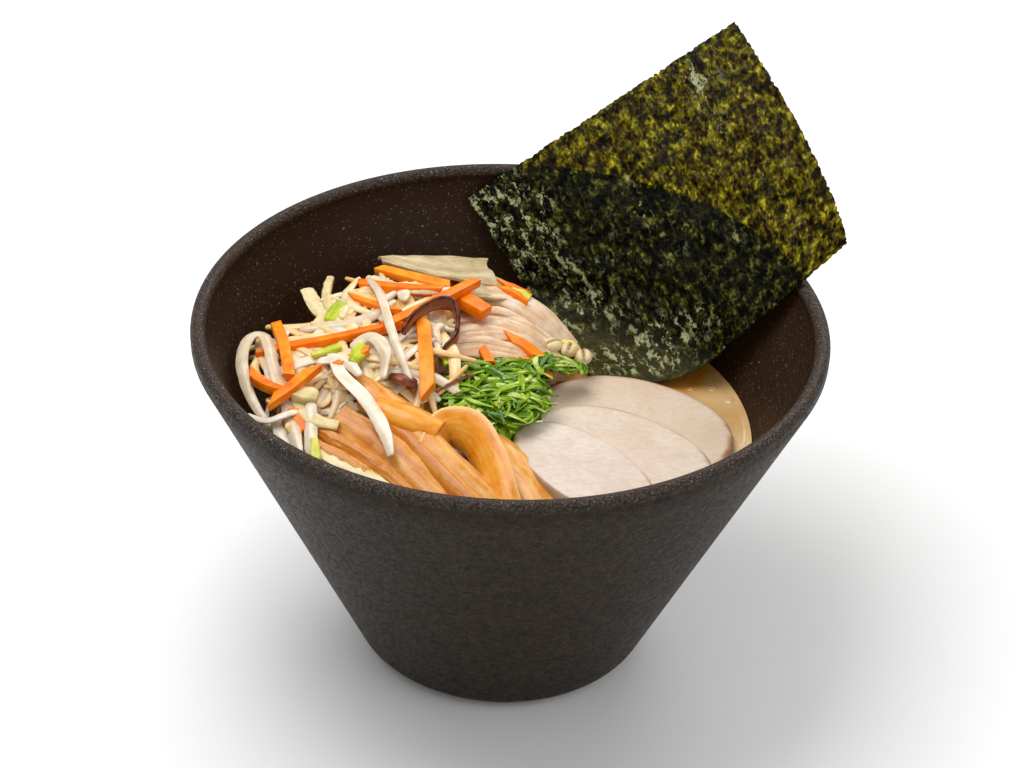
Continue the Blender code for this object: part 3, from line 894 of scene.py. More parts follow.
@dataclass(frozen=True)
class BrothFinish:
    """Cloudy soup, amber where it is deep and clear, cream where it is cloudy.

    Attributes:
        clear: Its colour where it is clear.
        cloudy: Its colour where it is cloudy.
        cream: Its palest colour.
        cloud: Fineness of its clouds.
        clearing: How fast it clears towards the back, for each metre.
        wet: Roughness where smoothest and where roughest.
        coat: Strength of the fat's shine on it.
    """

    clear: Colour = paint(186, 126, 48)
    cloudy: Colour = paint(220, 182, 126)
    cream: Colour = paint(232, 204, 164)
    cloud: float = 26
    clearing: float = 8.0
    wet: Pair = (0.06, 0.2)
    coat: float = 0.4

    def material(self, effects: Effects) -> Material:
        """Builds the material.

        Args:
            effects: The shared groups.

        Returns:
            The material.
        """
        material, shader, skin = start_material("cream_broth")
        place = shader.object_place()
        y = shader.node("SeparateXYZ", {0: place}).outputs[1]
        far = shader.maths("MULTIPLY", y, self.clearing)
        share = shader.maths("SUBTRACT", shader.grain(place, self.cloud, 4, 0.5), far)
        stops = [(0.22, self.clear), (0.42, self.cloudy), (0.7, self.cream)]
        shader.put(shader.ramp(share, stops), skin.inputs["Base Color"])
        shader.moisten(skin, effects.moist, self.wet, 90.0)
        shader.emboss(skin, 0.3, 0.3, shader.grain(place, 70, 2))
        skin.inputs["Coat Weight"].default_value = self.coat
        return material


@dataclass(frozen=True)
class ChickenFinish:
    """Poached breast: pale, finely fibred, with brown marks along the front of the rim and painted shade
    along its edge.

    Attributes:
        shades: Colours from the darkest to the lightest.
        crease: Colour of the brown marks along the front of its rim.
        rim: Painted shade along its edge, which makes the slices' borders show.
        rear: Colour of the rear slice, which the soup has stained.
        stained: Share of that colour on it.
        grain_turn: Way of the meat's fibres, in degrees.
        stretch: Fineness of the fibres along each way.
        wet: Roughness where wet and where dry.
    """

    shades: tuple[Colour, ...] = (paint(204, 180, 160), paint(213, 194, 177), paint(223, 209, 196))
    crease: Colour = paint(160, 98, 52)
    # Painted shade along each slice's edge.
    rim: Colour = paint(184, 142, 104)
    rear: Colour = paint(222, 190, 146)
    stained: float = 0.32
    grain_turn: float = 35
    stretch: Point = (420.0, 900.0, 420.0)
    wet: Pair = (0.32, 0.5)

    def material(self, effects: Effects) -> Material:
        """Builds the material.

        Args:
            effects: The shared groups.

        Returns:
            The material.
        """
        material, shader, skin = start_material("poached_chicken")
        place = shader.object_place()
        turn = (0.0, 0.0, radians(self.grain_turn))
        turned = shader.node("Mapping", {"Vector": place, "Rotation": turn, "Scale": self.stretch})
        fibre = shader.grain(turned.outputs[0], 1, 4, 0.6)
        cloud = shader.grain(place, 60, 3)
        share = shader.maths("ADD", *(shader.maths("MULTIPLY", part, 0.5) for part in (fibre, cloud)))
        colour = shader.ramp(share, list(zip((0.36, 0.5, 0.64), self.shades)))
        stained = shader.maths("MULTIPLY", shader.own("stain"), self.stained)
        colour = shader.blend(stained, colour, self.rear)
        brown = shader.spread(shader.grain(place, 190, 3), 0.42, 0.6, (0, 1))
        colour = shader.blend(shader.maths("MULTIPLY", shader.own("crease"), brown), colour, self.crease)
        # Painted shade along each slice's edge, uneven along its length.
        edge = shader.spread(shader.grain(place, 140, 2), 0.35, 0.65, (0.4, 1))
        colour = shader.blend(shader.maths("MULTIPLY", shader.own("rim"), edge), colour, self.rim)
        shader.put(colour, skin.inputs["Base Color"])
        shader.moisten(skin, effects.moist, self.wet, 300.0)
        shader.emboss(skin, 0.5, 0.25, fibre)
        let_light_in(skin, 0.25, (1.0, 0.55, 0.4), 2.5)
        return material


@dataclass(frozen=True)
class SeaweedFinish:
    """Toasted seaweed: felted dark fibres that let green light through, with small glints painted into
    its colour.

    Attributes:
        face: Colours of the skin from the darkest to the lightest.
        through: Colours of the light that comes through, likewise.
        glint: Colour of the painted glints, small pale flecks.
        wash: Colour of its wet foot.
        places: Places of both rows of colours on their scale.
        felt: Fineness, layers and roughness of its fibres.
        turns: The two ways that the fibres run, in degrees, each with its stretch.
        patch: How much thicker and thinner patches shade it.
        film: Share of the light that comes through, before the glints.
        glints: Share of the painted glint colour on a glint.
    """

    face: tuple[Colour, ...] = (paint(1, 1, 0), paint(8, 9, 1), paint(58, 60, 12), paint(160, 158, 76))
    through: tuple[Colour, ...] = (
        paint(58, 40, 0),
        paint(132, 118, 4),
        paint(184, 174, 14),
        paint(236, 226, 90),
    )
    # Painted glints: a pale colour mixed into the skin's colour.
    glint: Colour = paint(208, 212, 160)
    wash: Colour = paint(112, 108, 62)
    places: tuple[float, ...] = (0.37, 0.47, 0.57, 0.69)
    felt: tuple[float, float, float] = (0.85, 3, 0.68)
    turns: tuple[tuple[float, Point], ...] = ((0.0, (1.0, 0.36, 1.0)), (52.0, (0.9, 0.34, 1.0)))
    patch: float = 0.58
    shine: float = 0.13
    film: float = 0.62
    glints: float = 0.62

    def material(self, effects: Effects) -> Material:
        """Builds the material: a glossy dark skin mixed with a tinted clear film.

        Args:
            effects: The shared groups.

        Returns:
            The material.
        """
        material, shader, skin = start_material("toasted_seaweed")
        along, down = shader.own("along"), shader.own("down")
        sheet = shader.node("CombineXYZ", {0: along, 1: down, 2: 0.0}).outputs[0]
        stirred = self.stirred(shader, sheet)
        ways = []
        for turn, scale in self.turns:
            inputs = {"Vector": stirred, "Rotation": (0.0, 0.0, radians(turn)), "Scale": scale}
            ways.append(shader.node("Mapping", inputs).outputs[0])
        felt = [shader.grain(way, *self.felt) for way in ways]
        fine = shader.maths("MULTIPLY", shader.maths("ADD", *felt), 0.5)
        patch = shader.grain(sheet, 0.24, 2, 0.65)
        share = shader.maths("MULTIPLY_ADD", shader.maths("SUBTRACT", patch, 0.5), self.patch, fine)
        colour = shader.ramp(share, list(zip(self.places, self.face)))
        wet = shader.own("wet")
        colour = shader.blend(shader.maths("MULTIPLY", wet, 0.5), colour, self.wash)
        # Painted glints: pale flecks mixed into the colour, most where the sheet's painted glare lies;
        # the same flecks make the film less clear.
        shred = shader.spread(shader.grain(ways[1], 0.5, 3, 0.7), 0.52, 0.62, (0, 1))
        shine = shader.maths("ADD", shader.grain(sheet, 0.1, 2, 0.7), shader.own("shine"))
        painted_glint_places = shader.spread(shine, 0.54, 0.84, (0.04, 1))
        pale = shader.maths("MULTIPLY", shred, painted_glint_places, clamp=True)
        colour = shader.blend(shader.maths("MULTIPLY", pale, self.glints), colour, self.glint)
        shader.put(colour, skin.inputs["Base Color"])
        rough = shader.spread(shader.grain(sheet, 0.7, 1), 0.35, 0.65, (0.16, 0.5))
        shader.put(shader.maths("MULTIPLY_ADD", wet, -0.1, rough), skin.inputs["Roughness"])
        skin.inputs["Specular IOR Level"].default_value = self.shine
        shader.emboss(skin, 1.0, 0.4, felt[0])
        tint = shader.ramp(share, list(zip(self.places, self.through)))
        film = shader.node("BsdfTransparent", {"Color": tint})
        open_share = shader.maths("MULTIPLY_ADD", pale, -0.45, self.film)
        both = shader.node("MixShader", {0: open_share, 1: skin.outputs[0], 2: film.outputs[0]})
        shader.put(both.outputs[0], material.node_tree.nodes["Material Output"].inputs[0])
        return material

    @staticmethod
    def stirred(shader: Shader, sheet: Socket) -> Socket:
        """The place on the sheet, stirred so that fibres turn this way and that.

        Args:
            shader: The material's shader.
            sheet: The place on the sheet.

        Returns:
            The stirred place.
        """
        swirl = shader.node("TexNoise", {"Vector": sheet, "Scale": 0.5, "Detail": 2.0}).outputs[1]
        moved = shader.node("VectorMath", {0: swirl, 1: (3.0, 3.0, 3.0)}, operation="MULTIPLY").outputs[0]
        return shader.node("VectorMath", {0: sheet, 1: moved}, operation="ADD").outputs[0]


@dataclass
class StonewareBowl:
    """The bowl: a straight leaning wall on a small foot, with a beaded rim."""

    rim_radius: float = 100
    height: float = 120
    lean: float = 0.475
    wall: float = 4.3
    wall_top_radius: float = 99.9
    wall_top: float = 115.2
    bead: float = 2.4
    foot_corner: float = 12
    floor: float = 6
    floor_corner: float = 12
    segments: int = 168

    def outer(self, height: float) -> float:
        """Radius of the outer wall at a height."""
        return self.wall_top_radius - self.lean * (self.wall_top - height)

    def inner(self, height: float) -> float:
        """Radius of the inner wall at a height."""
        return self.outer(height) - self.wall

    def corner(
        self, radius: float, floor: float, wall: Callable[[float], float], steps: int
    ) -> list[Pair]:
        """The rounded corner between a floor and the wall.

        Args:
            radius: Radius of the corner.
            floor: Height of the floor.
            wall: The wall's radius at a height.
            steps: Number of points.

        Returns:
            Points (radius, height) from the floor up.
        """
        centre = wall(floor + radius) - radius * sqrt(1 + self.lean**2)
        angles = np.linspace(-pi / 2, -atan(self.lean), steps)
        return [(centre + radius * cos(a), floor + radius * (1 + sin(a))) for a in angles]

    def profile(self) -> list[Pair]:
        """Half of the bowl's cross-section.

        Returns:
            Points (radius, height) from the middle of the foot round to the middle of the floor.
        """
        bead_r, bead_z = self.rim_radius - self.bead, self.height - self.bead
        points = [(0.0, 0.0), *self.corner(self.foot_corner, 0, self.outer, 14)]
        heights = np.linspace(points[-1][1], self.wall_top, 14)[1:]
        points += [(self.outer(z), z) for z in heights]
        for angle in np.radians(np.arange(-20, 211, 10)):
            points.append((bead_r + self.bead * cos(angle), bead_z + self.bead * sin(angle)))
        floor = self.corner(self.floor_corner, self.floor, self.inner, 10)
        points += [(self.inner(z), z) for z in np.linspace(self.wall_top, floor[-1][1], 14)]
        return points + floor[-2::-1] + [(0.0, self.floor)]

    def build(self, effects: Effects) -> None:
        """Spins the profile into the bowl.

        Args:
            effects: The shared groups.
        """
        body = spun(self.profile(), self.segments)
        dress("stoneware_bowl", body, StonewareFinish().material(effects), "stoneware", "bowl")


def spun(profile: Sequence[Pair], segments: int) -> Mesh:
    """A closed shape turned about the vertical.

    Args:
        profile: Points (radius, height) in millimetres, from axis to axis.
        segments: Facets round the shape.

    Returns:
        The shape.
    """
    body = bmesh.new()
    corners = [body.verts.new((r * MM, 0, z * MM)) for r, z in profile]
    edges = [body.edges.new(pair) for pair in zip(corners, corners[1:])]
    turn = {"cent": (0, 0, 0), "axis": (0, 0, 1), "angle": 2 * pi}
    bmesh.ops.spin(body, geom=corners + edges, steps=segments, use_merge=True, **turn)
    bmesh.ops.remove_doubles(body, verts=body.verts, dist=MERGE * MM)
    bmesh.ops.recalc_face_normals(body, faces=body.faces)
    return body


@dataclass
class Broth:
    """The soup, with a small meniscus at the wall and drops of oil afloat.

    Attributes:
        meniscus: How it climbs the wall: distances from the wall and heights over the level.
        drop_size: Smallest and largest drop, before they are thinned towards the small.
        drop_thin: How far the sizes lean towards the small.
        drop_turn: How far to either side of the right the drops lie, in radians.
        drop_reach: Nearest and farthest drop from the middle, as shares of the surface.
    """

    bowl: StonewareBowl
    level: float = 78
    clearance: float = 0.1
    meniscus: tuple[Pair, ...] = ((0, 0.8), (0.6, 0.35), (1.6, 0.08), (3, 0))
    drops: int = 70
    drop_size: Pair = (0.3, 1.7)
    drop_thin: float = 1.3
    drop_flat: float = 0.16
    drop_turn: float = 1.1
    drop_reach: Pair = (0.5, 0.96)
    seed: int = 5

    def build(self, effects: Effects) -> None:
        """Spins the soup and floats the drops.

        Args:
            effects: The shared groups.
        """

        def wall(height: float) -> float:
            """The soup's radius at a height."""
            return self.bowl.inner(height) - self.clearance

        floor = self.bowl.floor + self.clearance
        edge = wall(self.level + self.meniscus[0][1])
        profile = [(0.0, floor), *self.bowl.corner(self.bowl.floor_corner, floor, wall, 8)]
        profile += [(edge - inward, self.level + rise) for inward, rise in self.meniscus]
        profile += [(edge * 0.5, self.level), (0.0, self.level)]
        lot = Lot("broth_surface")
        lot.add(spun(profile, 128))
        draw = np.random.default_rng(self.seed)
        for _ in range(self.drops):
            angle = draw.uniform(-self.drop_turn, self.drop_turn)
            reach = sqrt(draw.uniform(*self.drop_reach)) * edge
            size = draw.uniform(*self.drop_size) ** self.drop_thin
            drop = bmesh.new()
            bmesh.ops.create_icosphere(drop, subdivisions=2, radius=size * MM)
            bmesh.ops.scale(drop, vec=(1, 1, self.drop_flat), verts=drop.verts)
            place = Vector((reach * cos(angle), reach * sin(angle), self.level)) * MM
            bmesh.ops.translate(drop, vec=place, verts=drop.verts)
            lot.add(drop)
        lot.piece(BrothFinish().material(effects), "broth", "broth")


@dataclass
class SeaweedSheet:
    """A quarter sheet that leans on the rim at two places, with its wet foot on the broth.

    Attributes:
        length: Length of the top edge.
        depth: Depth from the top edge to the foot.
        corner: Place of its top left corner.
        heading: Way of the top edge seen from above, in radians.
        rise: How far the top edge climbs, in radians.
        lean: How far the sheet leans, in radians.
        bend: How it bends on the way down, in radians.
        bend_start: Share of the way down where its sharper bend starts.
        ripple: Height of its slow waves.
        floats_at: Height of its foot on the broth.
        softens: Height over that from which it is wet.
        flattens: Fall over which it comes to lie flat.
        slump: How far its foot slides sideways and forwards.
        slump_fall: Fall over which it slides.
        fray: How far its edges are torn in.
        fray_waves: Fineness of the tears and their shares.
        fray_reach: How far from the edge the tears reach.
        glare: Where its painted glints collect most: places along and down it, their widths and heights,
            and how strongly.
    """

    length: float = 108
    depth: float = 98
    thickness: float = 0.35
    corner: Point = (-16.5, 88.6, 111.8)
    heading: float = radians(17.6)
    rise: float = radians(31.3)
    lean: float = radians(-44.9)
    bend: Point = (0.074, -0.069, -0.843)
    bend_start: float = 0.55
    twist: float = 0.473
    steps: int = 60
    ripple: float = 0.45
    crinkle: float = 0.4
    floats_at: float = 80.4
    softens: float = 10
    flattens: float = 20
    slump: Pair = (-9, -7)
    slump_fall: float = 35
    columns: int = 170
    rows: int = 154
    fray: float = 1.1
    fray_waves: tuple[Pair, ...] = ((0.37, 0.9), (1.1, 0.6), (2.7, 0.5))
    fray_reach: float = 2.4
    # Painted glare: where the painted glints collect most.
    glare: tuple[tuple[float, float, float, float, float], ...] = (
        (0.07, 0.16, 0.1, 0.16, 1.0),
        (0.14, 0.55, 0.12, 0.16, 0.35),
        (0.22, 0.84, 0.2, 0.09, 0.9),
        (0.8, 0.12, 0.03, 0.2, 0.4),
        (0.45, 0.4, 0.025, 0.2, 0.25),
    )

    def axes(self) -> tuple[Vector, Vector, Vector]:
        """The directions that the sheet hangs by.

        Returns:
            The top edge's direction, the way down and the way out of the sheet's face.
        """
        flat = Vector((cos(self.heading), sin(self.heading), 0))
        heading = cos(self.rise) * flat + Vector((0, 0, sin(self.rise)))
        level = heading.cross(Vector((0, 0, 1))).normalized()
        fall = cos(self.lean) * level + sin(self.lean) * level.cross(heading)
        return heading, fall, heading.cross(fall)

    def row(self, down: float) -> tuple[Vector, Vector]:
        """The left end of a row of the sheet and the row's direction.

        Args:
            down: Share of the way from the top edge to the bottom one.

        Returns:
            The place in millimetres and the direction.
        """
        heading, fall, face = self.axes()

        def way(share: float) -> Vector:
            """Direction down the sheet.

            Args:
                share: Share of the way down.

            Returns:
                The direction.
            """
            late = max(share - self.bend_start, 0)
            bend = self.bend[0] * share + self.bend[1] * share**2 + self.bend[2] * late**2
            return cos(bend) * fall + sin(bend) * face

        place = Vector(self.corner)
        for step in range(self.steps):
            place = place + way(down * (step + 0.5) / self.steps) * (self.depth * down / self.steps)
        twist = self.twist * down
        return place, cos(twist) * heading + sin(twist) * way(down).cross(heading)

    def settle(self, point: Vector) -> tuple[Vector, float]:
        """Where the broth stops a point, and how wet it is there.

        Args:
            point: The point as it would hang, in millimetres.

        Returns:
            Its place and its wetness, 0 to 1.
        """
        sunk = max(self.floats_at + self.softens - point.z, 0)
        slump = min(sunk / self.slump_fall, 1)
        point.x += self.slump[0] * slump
        point.y += self.slump[1] * slump
        if sunk:
            point.z = self.floats_at + self.softens * max(1 - sunk / self.flattens, 0) ** 2
        return point, min(sunk / (self.softens * 1.2), 1)

    def relief(self, along: float, down: float) -> float:
        """Height of the sheet's crinkles at a place on it.

        Args:
            along: Place along it in millimetres.
            down: Place down it in millimetres.

        Returns:
            The height in millimetres.
        """
        place = Vector((along, down, 0))
        fallen, gone = down / self.depth, along / self.length
        slow = self.ripple * sin(31 * gone + 4 * sin(6 * fallen)) * sin(9 * fallen + 5 * gone)
        return slow + self.crinkle * (noise.noise(place * 0.22) + 0.6 * noise.noise(place * 0.6))

    def frayed(self, share: float, other: float, span: float) -> float:
        """A place on the sheet, drawn in near its edges as torn fibres leave them.

        Args:
            share: The place on the way across that the edges end, 0 to 1.
            other: The place along the edge in millimetres.
            span: The sheet's size on the way across, in millimetres.

        Returns:
            The new share.
        """
        reach = self.fray_reach / span
        ragged = sum(
            weight * abs(noise.noise(Vector((other * finer, share * 3, 7))))
            for finer, weight in self.fray_waves
        )
        pull = self.fray * ragged / span
        near = max(1 - share / reach, 0) - max(1 - (1 - share) / reach, 0)
        return share + pull * near

    def build(self, effects: Effects) -> None:
        """Bends a flat grid into the sheet and gives it its thickness.

        Args:
            effects: The shared groups.
        """
        body = bmesh.new()
        bmesh.ops.create_grid(body, x_segments=self.columns, y_segments=self.rows, size=0.5)
        along, down, wet, shine = layers(body, "along", "down", "wet", "shine")
        rows: dict[int, tuple[Vector, Vector, Vector]] = {}
        face = self.axes()[2]
        ahead = 0.02
        for vert in body.verts:
            across, fallen = vert.co.x + 0.5, 0.5 - vert.co.y
            u = self.frayed(across, fallen * self.depth, self.length)
            v = self.frayed(fallen, across * self.length, self.depth)
            key = round(fallen * self.rows)
            if key not in rows:
                rows[key] = (*self.row(fallen), self.row(fallen + ahead)[0])
            start, way, later = rows[key]
            shift = (later - start) / ahead * (v - fallen)
            place = start + shift + way * (self.length * u)
            place, wetness = self.settle(place)
            place += face * self.relief(u * self.length, v * self.depth)
            vert.co = place * MM
            vert[along], vert[down], vert[wet] = u * self.length, v * self.depth, wetness
            # Painted glare: where the painted glints collect most.
            vert[shine] = sum(
                power * exp(-(((u - x) / wide) ** 2) - ((v - y) / tall) ** 2)
                for x, y, wide, tall, power in self.glare
            )
        bmesh.ops.solidify(body, geom=body.faces[:], thickness=self.thickness * MM)
        bmesh.ops.recalc_face_normals(body, faces=body.faces)
        dress("seaweed_sheet", body, SeaweedFinish().material(effects), "seaweed", "seaweed")


def lower_face(body: Mesh) -> list[bmesh.types.BMVert]:
    """Extrudes an open surface into a closed body.

    Args:
        body: The surface.

    Returns:
        The points of the new face, which lie where the surface's do.
    """
    made = bmesh.ops.extrude_face_region(body, geom=body.faces[:], use_keep_orig=True)["geom"]
    return [part for part in made if isinstance(part, bmesh.types.BMVert)]


@dataclass(frozen=True)
class ChickenSlice:
    """One oval slice.

    Attributes:
        node: The CAD node that it stands for.
        centre: Its place on the broth.
        turn: Its long axis, in degrees.
        back: Its length behind the centre.
        front: Its length in front of it.
        half_width: Half its width.
        bottom: Height of its lower face at the low side.
        stain: How far the soup has stained it, 0 to 1.
        slope: How far it rises for each millimetre towards the left.
        low_side: Place from which it rises, to the right of the middle.
        soft: Share of its width over which its edge is rounded.
    """

    node: str
    centre: Pair
    turn: float
    back: float
    front: float
    half_width: float
    bottom: float
    stain: float
    thickness: float = 3.6
    slope: float = 0.04
    low_side: float = 74
    soft: float = 0.05
    cells: int = 44

    def build(self, material: Material) -> None:
        """Shapes a grid into the slice's upper face and extrudes it down.

        Args:
            material: Its material.
        """
        body = bmesh.new()
        bmesh.ops.create_grid(body, x_segments=self.cells, y_segments=self.cells, size=1)
        crease, rim, stain = layers(body, "crease", "rim", "stain")
        turn = radians(self.turn)
        for vert in body.verts:
            x, y = vert.co.x, vert.co.y
            along, across = x * sqrt(1 - y * y / 2), y * sqrt(1 - x * x / 2)
            reach = min(hypot(along, across), 1)
            wave = 0.014 * noise.noise(Vector((along * 2.1, across * 2.1, self.bottom)))
            along, across = along * (1 + wave), across * (1 - wave)
            long = along * (self.back if along < 0 else self.front)
            wide = across * self.half_width
            px = self.centre[0] + long * cos(turn) - wide * sin(turn)
            py = self.centre[1] + long * sin(turn) + wide * cos(turn)
            rest = self.bottom + self.thickness + self.slope * (self.low_side - px)
            soft = sqrt(max(1 - max(reach - (1 - self.soft), 0) ** 2 / self.soft**2, 0))
            bump = 0.28 * noise.noise(Vector((px * 0.09, py * 0.09, self.bottom)))
            vert.co = Vector((px, py, rest - (1 - soft) + bump * (1 - reach**4))) * MM
            vert[crease] = smooth_step(reach, 0.9, 0.99) * smooth_step(along, 0.25, 0.7)
            # Where the painted edge shade lies.
            vert[rim] = smooth_step(reach, 0.91, 0.99)
            vert[stain] = self.stain
        bmesh.ops.translate(body, vec=(0, 0, -self.thickness * MM), verts=lower_face(body))
        bmesh.ops.recalc_face_normals(body, faces=body.faces)
        dress(self.node.replace("chicken", "chicken_slice"), body, material, "chicken", self.node)


@dataclass
class ChickenFan:
    """Three slices, each on the one before.

    Attributes:
        bottom: Height of the first slice's lower face.
        step: How much higher each one lies than the one before.
        sizes: Each slice's centre, turn, length behind and in front of the centre, and half width.
    """

    bottom: float = 78.3
    step: float = 4.08
    sizes: tuple[tuple[Pair, float, float, float, float], ...] = (
        ((44, -6), -37, 38, 28, 28),
        ((38, -28), -41, 36, 29, 24),
        ((24.5, -40), -50, 30, 28, 15.5),
    )

    def build(self, effects: Effects) -> None:
        """Builds the slices.

        Args:
            effects: The shared groups.
        """
        material = ChickenFinish().material(effects)
        for index, size in enumerate(self.sizes):
            bottom, stain = self.bottom + index * self.step, 1 - index / 2
            ChickenSlice(f"chicken_{index + 1}", *size, bottom, stain).build(material)


BAMBOO_FINISH = FoodFinish(
    name="bamboo_shoot",
    shades=(paint(204, 116, 24), paint(222, 147, 54), paint(234, 180, 98)),
    count=6, mottle=0.45,
    edge=paint(244, 200, 132),
    # Painted shade: a darker amber on the lower faces and in the furrows.
    under=paint(208, 104, 14),
    furrow=paint(178, 84, 16),
    wet=(0.16, 0.36), relief=0.2, shine=0.35,
)
AMBER_FINISH = replace(
    BAMBOO_FINISH,
    name="bamboo_amber",
    shades=(paint(228, 124, 6), paint(242, 156, 36), paint(248, 182, 78)),
)
CARROT_FINISH = FoodFinish(
    name="carrot",
    shades=(paint(244, 110, 0), paint(254, 134, 4), paint(255, 158, 30)),
    count=2, mottle=0.8, wet=(0.25, 0.45), relief=0.06,
)
SPROUT_FINISH = FoodFinish(
    name="bean_sprout",
    shades=(paint(214, 192, 160), paint(232, 216, 190), paint(246, 236, 218)),
    count=2, mottle=0.6, wet=(0.1, 0.24), relief=0.1, glow=0.3, shine=0.4,
)
BED_FINISH = replace(
    SPROUT_FINISH,
    name="blanched_sprout",
    shades=(paint(238, 184, 112), paint(246, 210, 150), paint(252, 230, 190)),
    glow=0.35,
)
CABBAGE_FINISH = FoodFinish(
    name="cabbage",
    shades=(paint(216, 192, 132), paint(234, 216, 164), paint(246, 234, 196)),
    count=4, mottle=0.5, wet=(0.2, 0.4), relief=0.2, glow=0.15,
)
BEAN_FINISH = replace(
    CABBAGE_FINISH,
    name="bean_head",
    shades=(paint(198, 164, 104), paint(226, 202, 150), paint(240, 224, 186)),
    # Painted shade in the split between the halves.
    furrow=paint(104, 58, 24),
)
GROUND_FINISH = FoodFinish(
    name="sprout_bed",
    shades=(paint(172, 104, 40), paint(226, 172, 98), paint(242, 206, 144)),
    count=4, mottle=1.0, wet=(0.2, 0.4), relief=0.5,
)
LEAF_FINISH = FoodFinish(
    name="cabbage_leaf",
    shades=(paint(170, 146, 104), paint(196, 174, 132), paint(218, 202, 164)),
    count=8, mottle=0.3, wet=(0.22, 0.42), relief=0.3, glow=0.15,
)
LIME_FINISH = FoodFinish(
    name="green_rib",
    shades=(paint(150, 170, 20), paint(200, 204, 50), paint(232, 224, 116)),
    count=3, mottle=0.5, wet=(0.2, 0.4), relief=0.15, glow=0.12,
)
WOOD_EAR_FINISH = FoodFinish(
    name="wood_ear",
    shades=(paint(64, 26, 14), paint(108, 52, 30), paint(146, 84, 50)),
    count=2, mottle=0.8,
    edge=paint(158, 94, 58),
    wet=(0.12, 0.3), relief=0.2,
)
NOODLE_FINISH = FoodFinish(
    name="wheat_noodle",
    shades=(paint(216, 170, 130), paint(230, 194, 158), paint(242, 218, 192)),
    count=2, mottle=0.7, wet=(0.16, 0.34), relief=0.08, glow=0.2,
)
# The palest of the green onion's shades is painted glints on the lightest shreds.
SCALLION_FINISH = FoodFinish(
    name="green_onion",
    shades=(paint(34, 70, 0), paint(84, 128, 0), paint(146, 180, 10), paint(226, 232, 146)),
    count=2, mottle=0.35, wet=(0.08, 0.22), relief=0.12, glow=0.05, shine=0.3,
)


@dataclass
class BambooShoots:
    """Six braised strips, ribbed along their upper faces."""

    fine: int = 22
    amber: tuple[int, ...] = (1, 2)

    def strips(self) -> list[list[Strand]]:
        """The strips in the order of their nodes.

        Returns:
            For each node its strands, which are two or more where the strip is folded or split.
        """
        flat = [
            Strand(
                ((-14, -23, 95), (-4, -32, 94.8), (5, -44, 91.3), (13, -56, 87.2)),
                Section(13, 2.4, self.fine, 0.45, 0.12, 5, 60),
                26, (-6, 12), (0.8, 1.02, 1), uneven=0.2, tone=0.9,
            ),
            Strand(
                (
                    (-24, -38, 93.5), (-19, -29, 97), (-11, -31.5, 97.5),
                    (-5, -43, 94), (-1, -55, 90), (2, -64, 86.3),
                ),
                Section(12.5, 2.0, self.fine, 0.45, 0.08, 4, 60),
                36, (78, 64, 52, 38, 12), (0.9, 1.15, 1, 0.8), uneven=0.15, tone=0.6,
            ),
            Strand(
                ((-40, -22.5, 103), (-30, -27.5, 102.5), (-20, -31.5, 100)),
                Section(19, 2.2, self.fine + 8, 0.4, 0.06, 4, 190),
                18, (-4, -4), (0.8, 1, 0.9), uneven=0.2, tone=0.5,
            ),
        ]
        long = [
            Strand(
                (
                    (-53, -9, 105), (-42, -18, 103.4), (-31.5, -29, 100.6),
                    (-20, -41.5, 95.6), (-7, -52.5, 90.4), (2, -61, 86.2),
                ),
                Section(10.5, 2.2, self.fine, 0.35, 0.08, 4, 95),
                36, (4, 18, 26, 18), (0.8, 1.05, 1, 0.8), uneven=0.25, tone=0.8,
            ),
            Strand(
                (
                    (-46, -21, 101), (-38, -27.5, 100), (-28, -38.5, 96.2),
                    (-17, -50.5, 91.4), (-8, -59, 87.6), (-3, -65, 85.2),
                ),
                Section(7, 2.6, self.fine, 0.2, 0.06, 3, 70),
                36, (20, 36, 40, 30), (0.6, 1, 1.1, 0.8), uneven=0.3, tone=0.25,
            ),
        ]
        low = [
            Strand(
                ((-44, -32, 97), (-33, -44, 93.5), (-20, -57, 88.6), (-13, -65, 85.4)),
                Section(9.5, 2.2, self.fine, 0.35, 0.1, 3, 80),
                26, (30, 28), (0.9, 1), uneven=0.3, tone=0.7,
            ),
        ]
        folded = (
            ((-53, -27, 98.6), (-41, -36, 96.6), (-28, -46.5, 92), (-19, -57.5, 87.4)),
            ((-58, -32, 96.8), (-46, -40, 95), (-33, -49, 90.8), (-23, -60, 86.4)),
            ((-60, -36, 95), (-47.5, -44, 93), (-36, -52, 89.4), (-27, -61, 85.8)),
            ((-61.5, -40, 92.6), (-51, -47.5, 90.6), (-38, -55.5, 87.6), (-30, -61.5, 85.4)),
        )
        widths, tones = (11, 4.2, 4.6, 7), (0.7, 0.4, 0.6, 1.0)
        folds = [
            Strand(
                path, Section(width, 3.2, self.fine, 0.2, 0.14, 3, 30),
                28, (34, 22), (0.9, 1.1, 0.7), uneven=0.45, tone=tone,
            )
            for path, width, tone in zip(folded, widths, tones)
        ]
        return [[strand] for strand in flat] + [long, low, folds]

    def build(self, effects: Effects) -> None:
        """Builds one piece for each strip.

        Args:
            effects: The shared groups.
        """
        pale, amber = BAMBOO_FINISH.material(effects), AMBER_FINISH.material(effects)
        for index, strands in enumerate(self.strips()):
            lot = Lot(f"bamboo_strip_{index + 1}")
            lot.lay(strands)
            lot.piece(amber if index in self.amber else pale, "bamboo", f"bamboo_{index + 1}")


def vegetable_top(x: float, y: float) -> float:
    """Height of the mound of vegetables."""
    mound = 110 - 9 * ((x + 38) / 45) ** 2 - 8 * ((y - 10) / 60) ** 2
    return mound - 0.55 * max(0, -5 - y) * smooth_step(x, -68, -58)


def noodle_top(x: float, y: float) -> float:
    """Height of the nest of noodles."""
    crest = 12 * exp(-(((x + 6) / 17) ** 2) - ((y - 27) / 17) ** 2)
    return 90 + crest - 0.12 * max(0, -20 - y)


